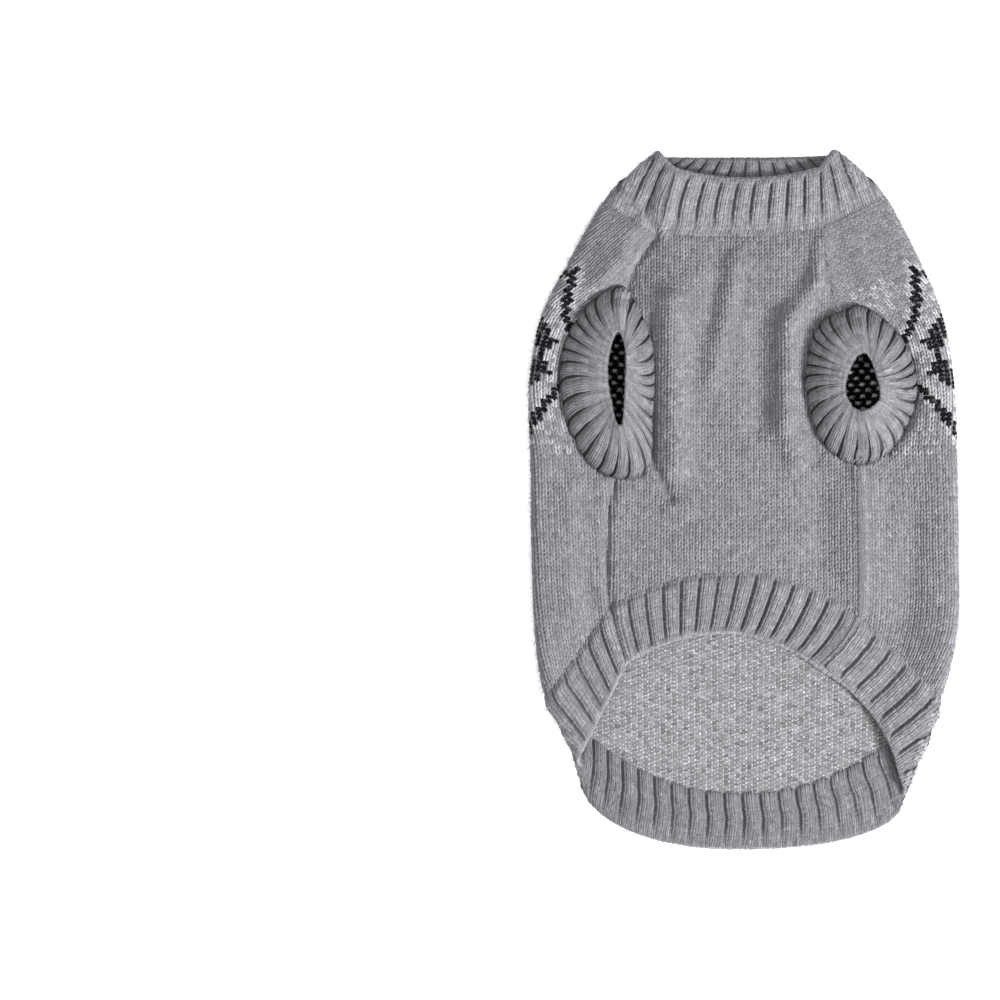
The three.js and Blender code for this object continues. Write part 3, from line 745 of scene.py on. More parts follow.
def yarn_piece(name, legs, frames, pick, height, color, loose=1.0):
    """Lays one set of leaves at each picked place. Its frame's steps span one stitch."""
    at, across, along, normal = (values[pick] for values in frames)
    count = len(at)
    verts, tris, uvs, colors = [], [], [], []
    offset = 0
    jitter = rng.uniform(-1, 1, (count, 2)) * (STITCH_JITTER * loose)
    for k, (points, faces) in enumerate(legs):
        lean = rng.uniform(-STITCH_LEAN, STITCH_LEAN, (count, 1))
        heft = height * rng.uniform(*STITCH_HEFT, (count, 1))
        a = points[:, 0][None] + jitter[:, :1] + lean * points[:, 1][None]
        b = points[:, 1][None] + jitter[:, 1:]
        place = (
            at[:, None]
            + across[:, None] * a[..., None]
            + along[:, None] * b[..., None]
            + normal[:, None] * (points[:, 2][None] * heft)[..., None]
        )
        verts.append(place.reshape(-1, 3))
        base = offset + np.arange(count)[:, None, None] * len(points)
        tris.append((faces[None] + base).reshape(-1, 3))
        offset += count * len(points)
        low = points[:, :2].min(0)
        span = (points[:, :2].max(0) - low).max()
        local = (points[:, :2] - low) / span * (1 - 2 * UV_MARGIN) + UV_MARGIN
        corner, side = uv_corners(np.arange(count) * len(legs) + k, count * len(legs))
        uvs.append(((corner + local[None]) / side).reshape(-1, 2))
        shade = np.clip(color * (1 + rng.normal(0, STITCH_SHADE * loose, (count, 1))), 0, 1)
        colors.append(np.repeat(shade, len(points), axis=0))
    mesh = add_mesh(name, *(np.concatenate(v) for v in (verts, tris, uvs, colors)))
    return finish_piece(mesh, YARN)


# Panels


def panel_grid(runs_of, counts, rows):
    """Points and normals of a panel, from the collar's border to the hem's."""
    at, normal = [], []
    for row in np.linspace(COLLAR_BORDER + EDGE_BACK, HEM_BORDER - EDGE_BACK, rows + 1):
        parts = []
        for run, count in zip(runs_of(row), counts):
            total = lengths_along(run[0])[-1]
            parts.append(sample(*run, np.linspace(0, total, count + 1)))
        places, directions, _ = joined(parts)
        at.append(places)
        normal.append(directions)
    return np.array(at), np.array(normal)


def armhole_keep(at):
    """Which cells of a panel stay: those of the top layer inside an armhole are cut out."""
    centre = (at[:-1, :-1] + at[1:, :-1] + at[:-1, 1:] + at[1:, 1:]) / 4
    spots = centre.reshape(-1, 3)
    cut = np.zeros(len(spots), bool)
    for loop in ARMHOLES:
        cut |= inside(spots[:, :2], loop) & (spots[:, 2] > WALL)
    return ~cut.reshape(centre.shape[:2])


def panel_piece(node, runs_of, counts, rows):
    at, normal = panel_grid(runs_of, counts, rows)
    shell = panel_shell(node + "_cloth", at, normal, armhole_keep(at))
    return finish_piece(shell, GAP_SHADE, node)


back_shell = panel_piece("back_panel", back_runs, (22, 12, 70, 12, 22), 120)
belly_shell = panel_piece("belly_panel", belly_runs, (60,), 84)


# Stitches of the back


def top_border(row):
    """The plan line of a ring's top layer, from the left to the right."""
    back = back_runs(row)
    return np.concatenate([run[0][::-1, :2] for run in (back[0], belly_runs(row)[0], back[4])])


def border_height(line, x):
    order = np.argsort(line[:, 0])
    return np.interp(x, line[order, 0], line[order, 1])


COLLAR_TOP = top_border(COLLAR_BORDER)
HEM_TOP = top_border(HEM_BORDER)
COLLAR_LOW = back_runs(COLLAR_BORDER)[2][0][:, :2]
HEM_LOW = back_runs(HEM_BORDER)[2][0][:, :2]
# How far the stitches run past the borders below and above, and stop short of seams and armholes
LOW_MARGIN = 0.5
TOP_MARGIN = 1.0
SEAM_MARGIN = 0.1
ARMHOLE_MARGIN = 0.9


def seam_x(y, side):
    line = SEAM_LINES[side]
    return np.interp(y, line[::-1, 1], line[::-1, 0])


def between_borders(points, upper, lower, margin):
    x, y = points[:, 0], points[:, 1]
    return (y < border_height(upper, x) + margin) & (y > border_height(lower, x) - margin)


def in_armhole(points):
    loops = [shift_loop(loop, -ARMHOLE_MARGIN) for loop in ARMHOLES]
    return inside(points, loops[0]) | inside(points, loops[1])


COURSE_BOW = 2.2
COURSE_OVERRUN = 6


def course_half(middle, side):
    """One course of knitting from the middle of the back round a side to the seam."""
    course = interpolate(middle, COURSES[::-1, 0], COURSES[::-1])[0]
    fold_y, seam_y = course[1:3] if side < 0 else course[3:5]
    line = SIDE_LINES[side]
    row = np.interp(fold_y, line[::-1, 1], OUTLINE_ROWS[::-1])
    along, inward = fold_side(row, side)
    fold = np.array([np.interp(fold_y, line[::-1, 1], line[::-1, 0]), fold_y])
    end = fold + inward * FOLD_DEPTH
    s = np.linspace(0, 1, 50)
    low = np.column_stack([
        end[0] * s, middle + (end[1] - middle) * s**COURSE_BOW, np.full(len(s), LOW_MID)
    ])
    down = np.tile((0.0, 0.0, -1.0), (len(s), 1))
    loop = fold_run(fold, along, inward, 0.0, False)
    reach = np.array([seam_x(seam_y, side), seam_y]) - end
    t = np.linspace(0, 1 + COURSE_OVERRUN / np.hypot(*reach), 30)
    top = top_frames(end + reach * t[:, None])
    return joined([(low, down, -np.ones(len(s))), loop, (*top, np.ones(len(t)))])


HALF_WALES = 76
ROWS_ABOVE_BAND = 41
LAST_COURSE_Y = -152
WALES = np.arange(-HALF_WALES, HALF_WALES + 1)
first_course = BAND_CENTRE_Y + ROWS_ABOVE_BAND * ROW_HEIGHT
course_heights = np.arange(first_course, LAST_COURSE_Y, -ROW_HEIGHT)
grid_at = np.full((len(course_heights), len(WALES), 3), np.nan)
grid_normal = np.zeros_like(grid_at)
grid_up = np.zeros(grid_at.shape[:2])
for j, middle in enumerate(course_heights):
    gauge = np.interp(middle, WALE_HEIGHTS, WALE_WIDTHS)
    for side in SIDES:
        run = course_half(middle, side)
        total = lengths_along(run[0])[-1]
        wales = np.arange(min(int(total / gauge), HALF_WALES) + 1)
        p, n, up = sample(*run, wales * gauge)
        columns = HALF_WALES + side * wales
        grid_at[j, columns], grid_normal[j, columns], grid_up[j, columns] = p, n, up

grid_wale = np.broadcast_to(WALES, grid_up.shape)
grid_row = np.broadcast_to(
    np.round((course_heights - BAND_CENTRE_Y) / ROW_HEIGHT)[:, None], grid_up.shape
).astype(int)


def neighbour_span(values, axis):
    """The step from one neighbour to the next, one-sided at a border."""
    ahead = np.roll(values, -1, axis) - values
    behind = values - np.roll(values, 1, axis)
    edge = [slice(None)] * values.ndim
    edge[axis] = -1
    ahead[tuple(edge)] = np.nan
    edge[axis] = 0
    behind[tuple(edge)] = np.nan
    both = np.stack([ahead, behind])
    known = ~np.isnan(both[..., :1])
    total = np.where(known, both, 0).sum(0)
    return total / np.maximum(known.sum(0), 1)


def flat(values):
    return values.reshape(-1, *values.shape[2:])


SHORTEST_STITCH = 0.3
grid_across = neighbour_span(grid_at, 1)
grid_along = -neighbour_span(grid_at, 0)
real = ~np.isnan(grid_at[..., 0]) & (np.linalg.norm(grid_along, axis=-1) > SHORTEST_STITCH)
st_at, st_normal, st_up, st_across, st_along, st_row, st_wale = (
    values[real]
    for values in (grid_at, grid_normal, grid_up, grid_across, grid_along, grid_row, grid_wale)
)
x, y = st_at[:, 0], st_at[:, 1]
ok_low = between_borders(st_at, COLLAR_LOW, HEM_LOW, LOW_MARGIN)
ok_top = between_borders(st_at, COLLAR_TOP, HEM_TOP, TOP_MARGIN)
ok_top &= np.where(x < 0, x < seam_x(y, -1) - SEAM_MARGIN, x > seam_x(y, 1) + SEAM_MARGIN)
ok_top &= ~(in_armhole(st_at[:, :2]) & (st_at[:, 2] > WALL))
there = np.where(st_up < 0, ok_low, ok_top)


def band_colors(row, wale):
    """The yarn of each stitch of the back, worked out from the band's repeat."""
    count = len(row)
    colors = heathered(GREY, count)
    from_centre = np.abs((wale + BAND_REPEAT // 2) % BAND_REPEAT - BAND_REPEAT // 2)
    rise = np.abs(row)
    zig = ZIGZAG_TOP_ROW - ZIGZAG_STEP * from_centre
    inner = rise < zig - ZIGZAG_HALF
    gap = (from_centre >= GAP_WALE) & (rise <= GAP_ROWS) & ~inner
    edge = ~inner & ~gap & (rise < zig + ZIGZAG_HALF + EDGE_ROWS)
    far = (from_centre >= GAP_WALE) & (rise >= FAR_ROWS[0]) & (rise <= FAR_ROWS[1])
    far &= ~inner & ~gap & ~edge
    light_share = np.zeros(count)
    for part, share in (
        (inner, 0.78),
        (inner & (rise > TIP_ROW), 0.45),
        (inner & (rise <= HEART_ROWS) & (from_centre <= HEART_WALES), 0.35),
        (gap | edge, 0.8),
        (far, 0.75 * ((wale + rise // 3) % 2)),
        (rise > BAND_ROWS, 0),
    ):
        light_share = np.where(part, share, light_share)
    light = rng.random(count) < light_share
    colors[light] = heathered(MARL, light.sum(), 0.07)
    colors[light & far] *= 0.9
    dark = (np.abs(rise - zig) <= ZIGZAG_HALF) & (rise <= BAND_ROWS)
    for ring_row, (first, last) in DARK_RING.items():
        dark |= (rise == ring_row) & (from_centre >= first) & (from_centre <= last)
    colors[dark] = heathered(BLACK, dark.sum(), 0.2)
    return colors, dark


st_color, st_dark = band_colors(st_row, st_wale)
under = st_up < -0.5
light = there & ~st_dark
left = x < 0
outer_frames = (st_at + st_normal * SHELL_HALF, st_across, st_along, st_normal)
for part, pick, legs in (
    ("under_left", light & under & left, KNIT_LEGS_PLAIN),
    ("under_right", light & under & ~left, KNIT_LEGS_PLAIN),
    ("flank_left", light & ~under & left, KNIT_LEGS),
    ("flank_right", light & ~under & ~left, KNIT_LEGS),
    ("dark", there & st_dark, DARK_LEGS),
):
    height = np.where(under[pick], UNDER_YARN, PANEL_YARN)[:, None]
    yarn_piece(
        "back_knit_" + part, legs, outer_frames, pick, height, st_color[pick],
    )

# The purl side of the back, seen through the hem and the armholes. The band's yarn is carried
# there in a small regular repeat.
HEM_WINDOW = 14
CUFF_WINDOW = 9
window = (y < border_height(top_border(LAST_RING), x) + HEM_WINDOW) & (y < 0)
for loop in CUFF_RIMS:
    window |= inside(st_at[:, :2], shift_loop(loop, -CUFF_WINDOW))
seen_inside = there & (st_up < -0.999) & window
inside_color = heathered(INSIDE_GREY, len(st_at), 0.07)
in_band = np.abs(st_row) <= BAND_ROWS - 3
birdseye = (st_row + st_wale % 2) % 3 == 0
inside_color[in_band] = np.where(
    birdseye[in_band][:, None], heathered(MARL, in_band.sum()), heathered(BLACK, in_band.sum())
)
upward = np.tile((0.0, 0.0, 1.0), (len(st_at), 1))
purl_at = st_at + upward * SHELL_HALF - st_along * 0.5 * (st_wale % 2)[:, None]
inner_frames = (purl_at, st_across, st_along, upward)
# The lining under the purl bumps is painted at half tone: painted shade in the holes between them
for part, pick, legs, height, tone in (
    ("shaded_lining", seen_inside & ~in_band, BACKING, 0.5, 0.5),
    ("ground", seen_inside & in_band & ~birdseye, BACKING, 0.5, 1.0),
    ("dots", seen_inside & in_band & birdseye, DOT, 0.75, 1.1),
    ("inside", seen_inside & ~(in_band & birdseye), PURL_BUMPS, 0.28, 1.0),
):
    yarn_piece(
        "back_purl_" + part, legs, inner_frames, pick, height,
        inside_color[pick] * tone, 1.3,
    )


# Stitches of the belly

BELLY_WALE = 2.86
BELLY_ROW = 2.08
BELLY_CENTRE_X = -4.0
BELLY_SPREAD = 0.02
BELLY_SAG = 0.0012
wale_x = np.arange(-34, 34) * BELLY_WALE + BELLY_CENTRE_X
grid_x, grid_y = np.meshgrid(wale_x, np.arange(134, -62, -BELLY_ROW))
off_centre = grid_x - BELLY_CENTRE_X
lean = BELLY_SPREAD * off_centre * np.clip((60 - grid_y) / 100, -0.6, 1)
plan = np.stack([grid_x + lean, grid_y + BELLY_SAG * off_centre**2], -1).reshape(-1, 2)
ok = between_borders(plan, COLLAR_TOP, HEM_TOP, TOP_MARGIN) & ~in_armhole(plan)
ok &= plan[:, 0] > seam_x(plan[:, 1], -1) + SEAM_MARGIN
ok &= plan[:, 0] < seam_x(plan[:, 1], 1) - SEAM_MARGIN
belly_p, belly_n = top_frames(plan)
belly_grid = belly_p.reshape(*grid_x.shape, 3)
belly_across, belly_along = (flat(neighbour_span(belly_grid, axis)) for axis in (1, 0))
belly_frames = (belly_p + belly_n * SHELL_HALF, belly_across, -belly_along, belly_n)
belly_yarn = [yarn_piece(
    "belly_knit", KNIT_LEGS, belly_frames, ok, PANEL_YARN,
    heathered(GREY * 0.985, ok.sum()),
)]


# Ribs

RIB_COURSES = 14
RIB_SHARES = np.array((0, 0.05, 0.1, 0.2, 0.35, 0.5, 0.65, 0.8, 0.9, 0.95))
WALE_SHARES = np.array((0.235, 0.5, 0.765))
# The outer wales of a rib are painted darker than the middle one: painted shade beside the grooves
WALE_PAINTED_SHADES = np.array((0.88, 1.05, 0.9))
WALE_SPAN = 0.27
GROOVE_SHARES = np.array((0.0,))
GROOVE_SPAN = 0.24
INSIDE_RELIEF = 0.8
INSIDE_TONE = 0.8
# A rib's profile: the share of its width that each groove takes, and its flat and round parts
GROOVE_WIDTH = 0.2
PROFILE_FLAT = 0.62
PROFILE_ROUND = 0.38
EDGE_CLOSE = 0.8
EDGE_FILL = 0.85


def rib_profile(share):
    """Height of a rib across its width: low at its edges, round on top."""
    near = np.minimum(share, 1 - share)
    return PROFILE_FLAT * ease(near / GROOVE_WIDTH) + PROFILE_ROUND * np.sin(np.pi * share)


def rib_relief(share, away, heft, rise_end, fade_start):
    """Ribs rise out of the cloth beside them, and their grooves close at the free edge."""
    rise = ease((away + 0.04) / rise_end)
    groove = 1 - EDGE_CLOSE * ease((away - fade_start) / (1 - fade_start))
    return RIB_HEIGHT * rise * (rib_profile(share) * heft * groove + EDGE_FILL * (1 - groove))


def groove_painted_shade(share, outer, downward, fill):
    """Painted shade of the yarn in the grooves, from the border to the free edge: dark in the deep
    part, lighter towards its ends.
    """
    if outer:
        painted_brightness = 0.6 + 0.24 * ease((fill * 1.6 - share) / fill / 1.2)
        return np.maximum(painted_brightness, 0.6 + 0.2 * ease((share - 0.88) / 0.1))
    return 0.42 + (0.56 * ease((share - 0.05) / 0.85) if downward else 0 * share)


def rib_piece(name, border, edge, back_ribs, belly_ribs, rise_end, fade_start, fill, tone):
    """A round of ribs from its border ring to its edge ring, with the yarn of both faces."""
    ribs = sum(back_ribs) + belly_ribs
    downward = edge > border
    rows = np.linspace(border + EDGE_BACK * np.sign(edge - border), edge, RIB_COURSES + 1)
    half = (rows[1] - rows[0]) / 2
    middle = (rows[:-1] + rows[1:]) / 2
    heft = np.clip(1 + rng.normal(0, 0.1, ribs), 0.75, 1.2)

    def ring(shares, rows):
        """Places, normals, how much each faces up, and the cloth's height outside and inside."""
        parts = []
        spacing = rib_places(border, back_ribs, shares)
        for row in rows:
            away = (row - border) / (edge - border)
            shift = away if downward else 0
            p, n, up = ring_samples(row, belly_ribs, shares, spacing, shift)
            share, each = np.tile(shares % 1, ribs), np.repeat(heft, len(shares))
            out = rib_relief(share, away, each, rise_end, fade_start)
            back = out
            if downward:
                back = rib_relief(share, away, each, rise_end * 0.3, fade_start * 0.6)
                back = back * INSIDE_RELIEF
            out, back = (
                SHELL_HALF + relief * np.sqrt(np.clip(facing, 0, 1))
                for relief, facing in ((out, up), (back, -up))
            )
            parts.append((p, n, up, out, back))
        return [np.array(v) for v in zip(*parts)]

    def surface(shares, rows, sign):
        """Places, normals and how much each faces up, on the outer or the inner face."""
        at, normal, up, out, back = ring(shares, rows)
        return at + normal * (sign * (out if sign > 0 else back))[..., None], normal * sign, up

    def courses(shares, sign):
        """Places, normals and steps along of one face's stitches, and which of them show."""
        p, n, up = surface(shares, middle, sign)
        before, after = (surface(shares, middle + step, sign)[0] for step in (-half, half))
        along = (before - after) if downward else (after - before)
        return p, n, along, np.ones(up.shape, bool) if sign > 0 else up < -0.3

    at, normal, _, outer, inner = (
        values if downward else values[::-1] for values in ring(RIB_SHARES, rows)
    )
    tube = tube_shell(name + "_cloth", at, normal, outer, inner)
    shell = finish_piece(tube, RIB_GAP_SHADE, name)
    made = []
    nudge = 0.03
    for face_name, sign in (("outer", 1), ("inner", -1)):
        p, n, along, pick = courses(WALE_SHARES, sign)
        left, right = (surface(WALE_SHARES + d, middle, sign)[0] for d in (-nudge, nudge))
        across = (left - right) / (2 * nudge) * WALE_SPAN * sign
        face = unit(np.cross(across, along))
        face = unit(face * np.sign((face * n).sum(-1, keepdims=True)) + 0.6 * n)
        # Painted shade: the wales beside the grooves are darker
        shade = np.broadcast_to(np.tile(WALE_PAINTED_SHADES, ribs), pick.shape)[pick][:, None]
        color = heathered(RIB_GREY * (tone if sign > 0 else tone * INSIDE_TONE), pick.sum())
        made.append(yarn_piece(
            f"{name}_knit_{face_name}", RIB_LEGS, (p, across, along, face), pick,
            RIB_YARN, color * shade,
        ))
        # The yarn in the grooves is painted darker: painted shade in the grooves, lighter towards
        # their ends
        painted_brightness = groove_painted_shade((middle - border) / (edge - border), sign > 0, downward, fill)
        painted_brightness = np.broadcast_to(painted_brightness[:, None], (len(middle), ribs))
        painted_brightness = painted_brightness * (1 + rng.normal(0, 0.12, ribs))
        p, n, along, pick = courses(GROOVE_SHARES, sign)
        across = (p - surface(GROOVE_SHARES + nudge, middle, sign)[0]) / nudge * GROOVE_SPAN * sign
        across -= n * (across * n).sum(-1, keepdims=True)
        color = heathered(RIB_GREY, pick.sum()) * tone * painted_brightness[pick][:, None]
        made.append(yarn_piece(
            f"{name}_fill_{face_name}", RIB_LEGS, (p, across, along, n), pick,
            GROOVE_YARN, color,
        ))
    return shell, made


neck_shell, neck_yarn = rib_piece(
    "neck_rib", COLLAR_BORDER, 0, NECK_BACK_RIBS, NECK_BELLY_RIBS,
    rise_end=0.5, fade_start=0.86, fill=0.24, tone=1.11,
)
hem_shell, hem_yarn = rib_piece(
    "hem_rib", HEM_BORDER, LAST_RING, HEM_BACK_RIBS, HEM_BELLY_RIBS,
    rise_end=0.2, fade_start=0.88, fill=0.08, tone=0.96,
)


# Cast-off edges of the collar and the hem

EDGE_ROLL = 1.35
CHAIN_ANGLES = (80, 48, 16, -16, -48)
CHAIN_WIDTH = 2.1
CHAIN_HEIGHT = 0.55


def edge_chain(name, row, beside, spacing, tone):
    """Rows of stitches laid round the free edge of a rib."""
    runs = back_runs(row) + belly_runs(row)
    near = back_runs(beside) + belly_runs(beside)
    at = np.concatenate([r[0][:-1] for r in runs])
    normal = np.concatenate([r[1][:-1] for r in runs])
    out = unit(at - np.concatenate([r[0][:-1] for r in near]))
    length = lengths_along(np.vstack([at, at[:1]]))
    count = int(length[-1] / spacing)
    place = (np.arange(count) + 0.5) / count * length[-1]
    p, n, o = (interpolate(place, length, np.vstack([v, v[:1]])) for v in (at, normal, out))
    n, o = unit(n), unit(o)
    t = unit(np.roll(p, -1, 0) - np.roll(p, 1, 0))
    facing_up = np.clip(n[:, 2:], 0, 1)
    parts = []
    for angle in CHAIN_ANGLES:
        c, s = math.cos(math.radians(angle)), math.sin(math.radians(angle))
        d = unit(o * c + n * s)
        reach = SHELL_HALF * 0.8 + EDGE_ROLL * max(s, 0) * facing_up + 0.6 * c
        parts.append((p + d * reach, t * spacing, np.cross(d, t) * CHAIN_WIDTH, d))
    frames = [np.concatenate(v) for v in zip(*parts)]
    color = heathered(RIB_GREY * tone, len(frames[0]))
    return yarn_piece(name, EDGE_CHAIN, frames, slice(None), CHAIN_HEIGHT, color)


neck_yarn.append(edge_chain("neck_edge", 0, 0.1, 2.6, 0.85))
hem_yarn.append(edge_chain("hem_edge", LAST_RING, LAST_RING - 0.1, 2.8, 1.02))


# Cuffs

# From the armhole to the rim: share of the way inward and share of the rise
CUFF_PROFILE = np.array([(0, 0), (0.14, 0.36), (0.44, 0.74), (0.78, 0.95), (1, 1)])
CUFF_SEAM_SHIFT = 0.2
CUFF_BASE_SHARE = 0.3
CUFF_ROWS = 24
CUFF_COURSES = 8
CUFF_FINE = 24
CUFF_RIB_HEIGHT = 1.6
CUFF_WALE_SPAN = 0.285
CUFF_WIDEN = 0.26
CUFF_CLOSE = 0.92
CUFF_FILL = 0.75
# Grey of the cloth between a cuff's ribs: painted shade in the grooves
CUFF_GROOVE_SHADE = 0.1


def cuff_grid(table, rows):
    """Places and normals of a cuff's cloth, from the armhole to the rim."""
    count = CUFF_RIBS * CUFF_FINE
    seam = shift_loop(closed_curve(table, SEAM_COLUMNS, count), CUFF_SEAM_SHIFT)[::-1]
    rim = closed_curve(table, RIM_COLUMNS, count)[::-1]
    base = top_height(seam)
    crown = TOP_MID + (FOLD_TOP - TOP_MID) * CUFF_BASE_SHARE + CUFF_RISE
    knots = np.linspace(0, 1, len(CUFF_PROFILE))
    at = np.array([
        np.column_stack([seam + (rim - seam) * share, base + (crown - base) * up])
        for share, up in interpolate(np.linspace(0, 1, rows + 1), knots, CUFF_PROFILE)
    ])
    across = np.roll(at, -1, 1) - np.roll(at, 1, 1)
    return at, unit(np.cross(across, neighbour_span(at, 0)))


def cuff_places(places, share):
    """Where fractions of each rib lie round a cuff: ribs are uneven in width and sway."""
    turn = np.arange(CUFF_RIBS) / CUFF_RIBS * 2 * np.pi
    edge = np.arange(CUFF_RIBS) + 0.2 * np.sin(3 * turn + 0.6) + 0.12 * np.sin(7 * turn)
    edge = edge + 0.5 * np.sin(2 * turn + 1) * np.sin(np.pi * share)
    width = np.roll(edge, -1) - edge
    width[-1] += CUFF_RIBS
    return (edge[:, None] + width[:, None] * places[None]).ravel()


def cuff_surface(table, shares, rows, lifted):
    """A cuff at fractions of each rib, row by row: on its outer face, or in its cloth's middle."""
    base, normal = cuff_grid(table, rows)
    count = base.shape[1]
    at, out, raised = [], [], []
    for j, share in enumerate(np.linspace(0, 1, rows + 1)):
        widen = 1 + (CUFF_WIDEN * ease((share - 0.3) / 0.45) if lifted else 0)
        places = 0.5 + (shares - 0.5) * widen
        place = cuff_places(places, share) * CUFF_FINE
        low = np.floor(place).astype(int)
        t = (place - low)[:, None]
        spot, n = (v[low % count] * (1 - t) + v[(low + 1) % count] * t for v in (base[j], normal[j]))
        n = unit(n)
        groove = ease((share + 0.03) / 0.1) * (1 - CUFF_CLOSE * ease((share - 0.2) / 0.65))
        rise = CUFF_RIB_HEIGHT * ease((share + 0.05) / 0.2)
        profile = np.tile(rib_profile(places % 1), CUFF_RIBS)
        height = rise * (profile * groove + CUFF_FILL * (1 - groove))
        at.append(spot + (n * (SHELL_HALF + height)[:, None] if lifted else 0))
        out.append(n)
        raised.append(height)
    return np.array(at), np.array(out), np.array(raised)


def cuff_piece(name, table):
    """A cuff's cloth, painted dark between its ribs for the shade in the grooves, and the yarn on its
    outer face.
    """
    at, normal, raised = cuff_surface(table, RIB_SHARES, CUFF_ROWS, False)
    inner = np.full(raised.shape, SHELL_HALF)
    # Painted shade: the outer face is dark in the grooves, lighter towards the rim and darker still
    # at the seam's crease; the inner face has the yarn's own grey
    painted_tones = np.full((2 * (len(at) + len(EDGE_ANGLES)), at.shape[1], 3), CUFF_GROOVE_SHADE)
    painted_tones[: len(at)] += 0.2 * ease((np.linspace(0, 1, len(at)) - 0.4) / 0.5)[:, None, None]
    painted_tones[:3] *= 0.5
    painted_tones[len(at) + 2 : 2 * len(at) + 3] = RIB_GREY
    tube = tube_shell(name + "_cloth", at, normal, SHELL_HALF + raised, inner, painted_tones.reshape(-1, 3))
    shell = finish_piece(tube, YARN, name)
    nudge = 0.04
    fine_rows = CUFF_COURSES * 2
    top, right, left = (
        cuff_surface(table, WALE_SHARES + d, fine_rows, True)[0] for d in (0, nudge, -nudge)
    )
    rows = np.arange(1, fine_rows, 2)
    span = CUFF_WALE_SPAN * (1 + 0.06 * ease((rows / fine_rows - 0.3) / 0.45))
    across = (right - left)[rows] / (2 * nudge) * span[:, None, None]
    step = top[rows + 1] - top[rows - 1]
    frames = [flat(v) for v in (top[rows], -across, -step, unit(np.cross(across, step)))]
    color = heathered(RIB_GREY, len(frames[0])).reshape(across.shape)
    # Painted light and shade: the yarn is painted lighter towards the rim, and its first course at
    # the seam darker for the shade in the crease there
    rim = 0.78 + 0.24 * np.linspace(0, 1, len(rows)) ** 1.5
    rim[0] *= 0.55
    shade = rim[:, None] * np.tile(WALE_PAINTED_SHADES, CUFF_RIBS)[None]
    return shell, [yarn_piece(
        name + "_knit", CUFF_LEGS, frames, slice(None), GROOVE_YARN,
        flat(color * shade[..., None]),
    )]


cuff_l_shell, cuff_l_yarn = cuff_piece("cuff_left", LEFT_CUFF)
cuff_r_shell, cuff_r_yarn = cuff_piece("cuff_right", RIGHT_CUFF)


# Loose fibres

FIBRE_TONE = 1.3
FIBRE_HALF = 0.045
FIBRE_LENGTH = (1.0, 3.2)
FIBRE_SCATTER = 0.7
FIBRE_LIFT = 0.35
FIBRE_SAG = 0.35
FIBRE_CLEARANCE = 0.05


def fibre_piece(name, at, normal, count, color):
    """Thin curved fibres that stand out of the yarn."""
    pick = rng.integers(0, len(at), count)
    root = at[pick] + rng.normal(0, FIBRE_SCATTER, (count, 3)) * (1, 1, 0)
    out = normal[pick]
    aim = unit(rng.normal(0, 1, (count, 3)) + out * 0.75)
    side = unit(np.cross(aim, rng.normal(0, 1, (count, 3)))) * FIBRE_HALF
    length = rng.uniform(*FIBRE_LENGTH, (count, 1))
    sag = unit(rng.normal(0, 1, (count, 3)))
    root = root + out * (SHELL_HALF + FIBRE_LIFT)
    verts = []
    for t, width in ((0, 1.0), (0.5, 0.8), (1, 0.3)):
        middle = root + aim * length * t + sag * length * FIBRE_SAG * t * t
        verts += [middle - side * width, middle + side * width]
    verts = np.stack(verts, 1).reshape(-1, 3)
    verts[:, 2] = np.maximum(verts[:, 2], FIBRE_CLEARANCE)
    faces = np.array([(0, 1, 3), (0, 3, 2), (2, 3, 5), (2, 5, 4)])
    tris = (faces[None] + np.arange(count)[:, None, None] * 6).reshape(-1, 3)
    corner, cells = uv_corners(np.arange(count), count)
    local = np.array([(u, v) for v in (0.1, 0.5, 0.9) for u in (0.1, 0.9)])
    uv = ((corner + local[None]) / cells).reshape(-1, 2)
    shades = np.repeat(heathered(color * FIBRE_TONE, count, 0.2), 6, axis=0)
    return finish_piece(add_mesh(name, verts, tris, uv, shades), YARN)


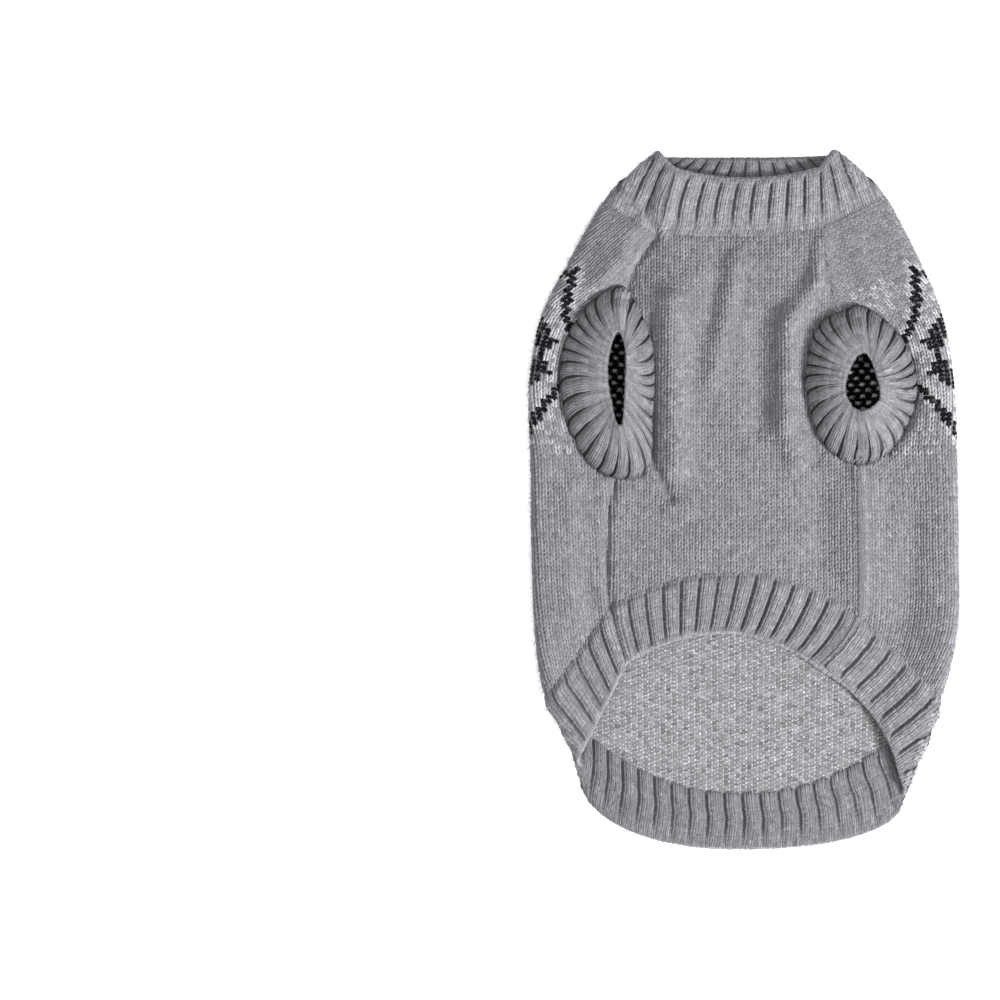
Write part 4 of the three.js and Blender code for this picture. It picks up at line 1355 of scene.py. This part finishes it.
for name, pick, count in (
    ("back_fibres", there & (st_up > -0.4), 9000),
    ("side_fibres", there & (np.abs(st_up) < 0.7), 8000),
):
    fibre_piece(name, st_at[pick], st_normal[pick], count, GREY)
belly_yarn.append(fibre_piece("belly_fibres", belly_p[ok], belly_n[ok], 3000, GREY))
for name, yarn, rows, count in (
    ("neck_fibres", neck_yarn, (0.1, 0.6, 1.2, 1.7), 2200),
    ("hem_fibres", hem_yarn, (9.3, 9.8, 10.4, 10.9), 3200),
):
    runs = [run for row in rows for run in back_runs(row) + belly_runs(row)]
    spots, facing = (np.concatenate([run[k] for run in runs]) for k in (0, 1))
    spots = spots + facing * 0.8
    pick = facing[:, 2] > -0.4
    yarn.append(fibre_piece(name, spots[pick], facing[pick], count, RIB_GREY))

# Floor, light and camera, in metres

WHITE = (1, 1, 1, 1)
FLOOR_HALF = 6.0
FLOOR_Z = -0.0002
floor_mesh = bpy.data.meshes.new("floor")
corners = [(a * FLOOR_HALF, b * FLOOR_HALF, FLOOR_Z) for a, b in ((-1, -1), (1, -1), (1, 1), (-1, 1))]
floor_mesh.from_pydata(corners, [], [(0, 1, 2, 3)])
floor = place_in_scene("floor", floor_mesh)
floor_material = bpy.data.materials.new("pale_floor")
floor_material.use_nodes = True
set_inputs(floor_material.node_tree.nodes["Principled BSDF"], {
    "Base Color": (0.93, 0.93, 0.93, 1), "Roughness": 0.9, "Specular IOR Level": 0.1,
    "Emission Color": WHITE, "Emission Strength": 0.7,
})
floor_mesh.materials.append(floor_material)

world = bpy.data.worlds.new("studio")
bpy.context.scene.world = world
world.use_nodes = True
set_inputs(world.node_tree.nodes["Background"], {"Color": WHITE, "Strength": 0.38})


def area_light(name, place, size, power):
    """A round soft light that looks at the origin."""
    data = bpy.data.lights.new(name, "AREA")
    data.shape = "DISK"
    data.size = size
    data.energy = power
    light = place_in_scene(name, data)
    light.location = place
    light.rotation_euler = (-Vector(place)).to_track_quat("-Z", "Y").to_euler()


area_light("key", (1.25, -0.8, 1.12), 0.5, 40)
area_light("fill", (-1.0, 0.9, 1.6), 1.2, 5)

# The photo's frame is 500 mm wide at the cloth, with the sweater in its right part
FRAME_WIDTH = 0.5
CAMERA_HEIGHT = 3.0
FRAME_CENTRE = (-0.122, -0.0006)
SUBJECT_HEIGHT = 0.006
SENSOR_WIDTH = 36
camera_data = bpy.data.cameras.new("camera")
camera_data.sensor_width = SENSOR_WIDTH
camera_data.lens = SENSOR_WIDTH * (CAMERA_HEIGHT - SUBJECT_HEIGHT) / FRAME_WIDTH
camera = place_in_scene("camera", camera_data)
camera.location = (*FRAME_CENTRE, CAMERA_HEIGHT)
bpy.context.scene.camera = camera
bpy.context.scene.view_settings.view_transform = "Standard"
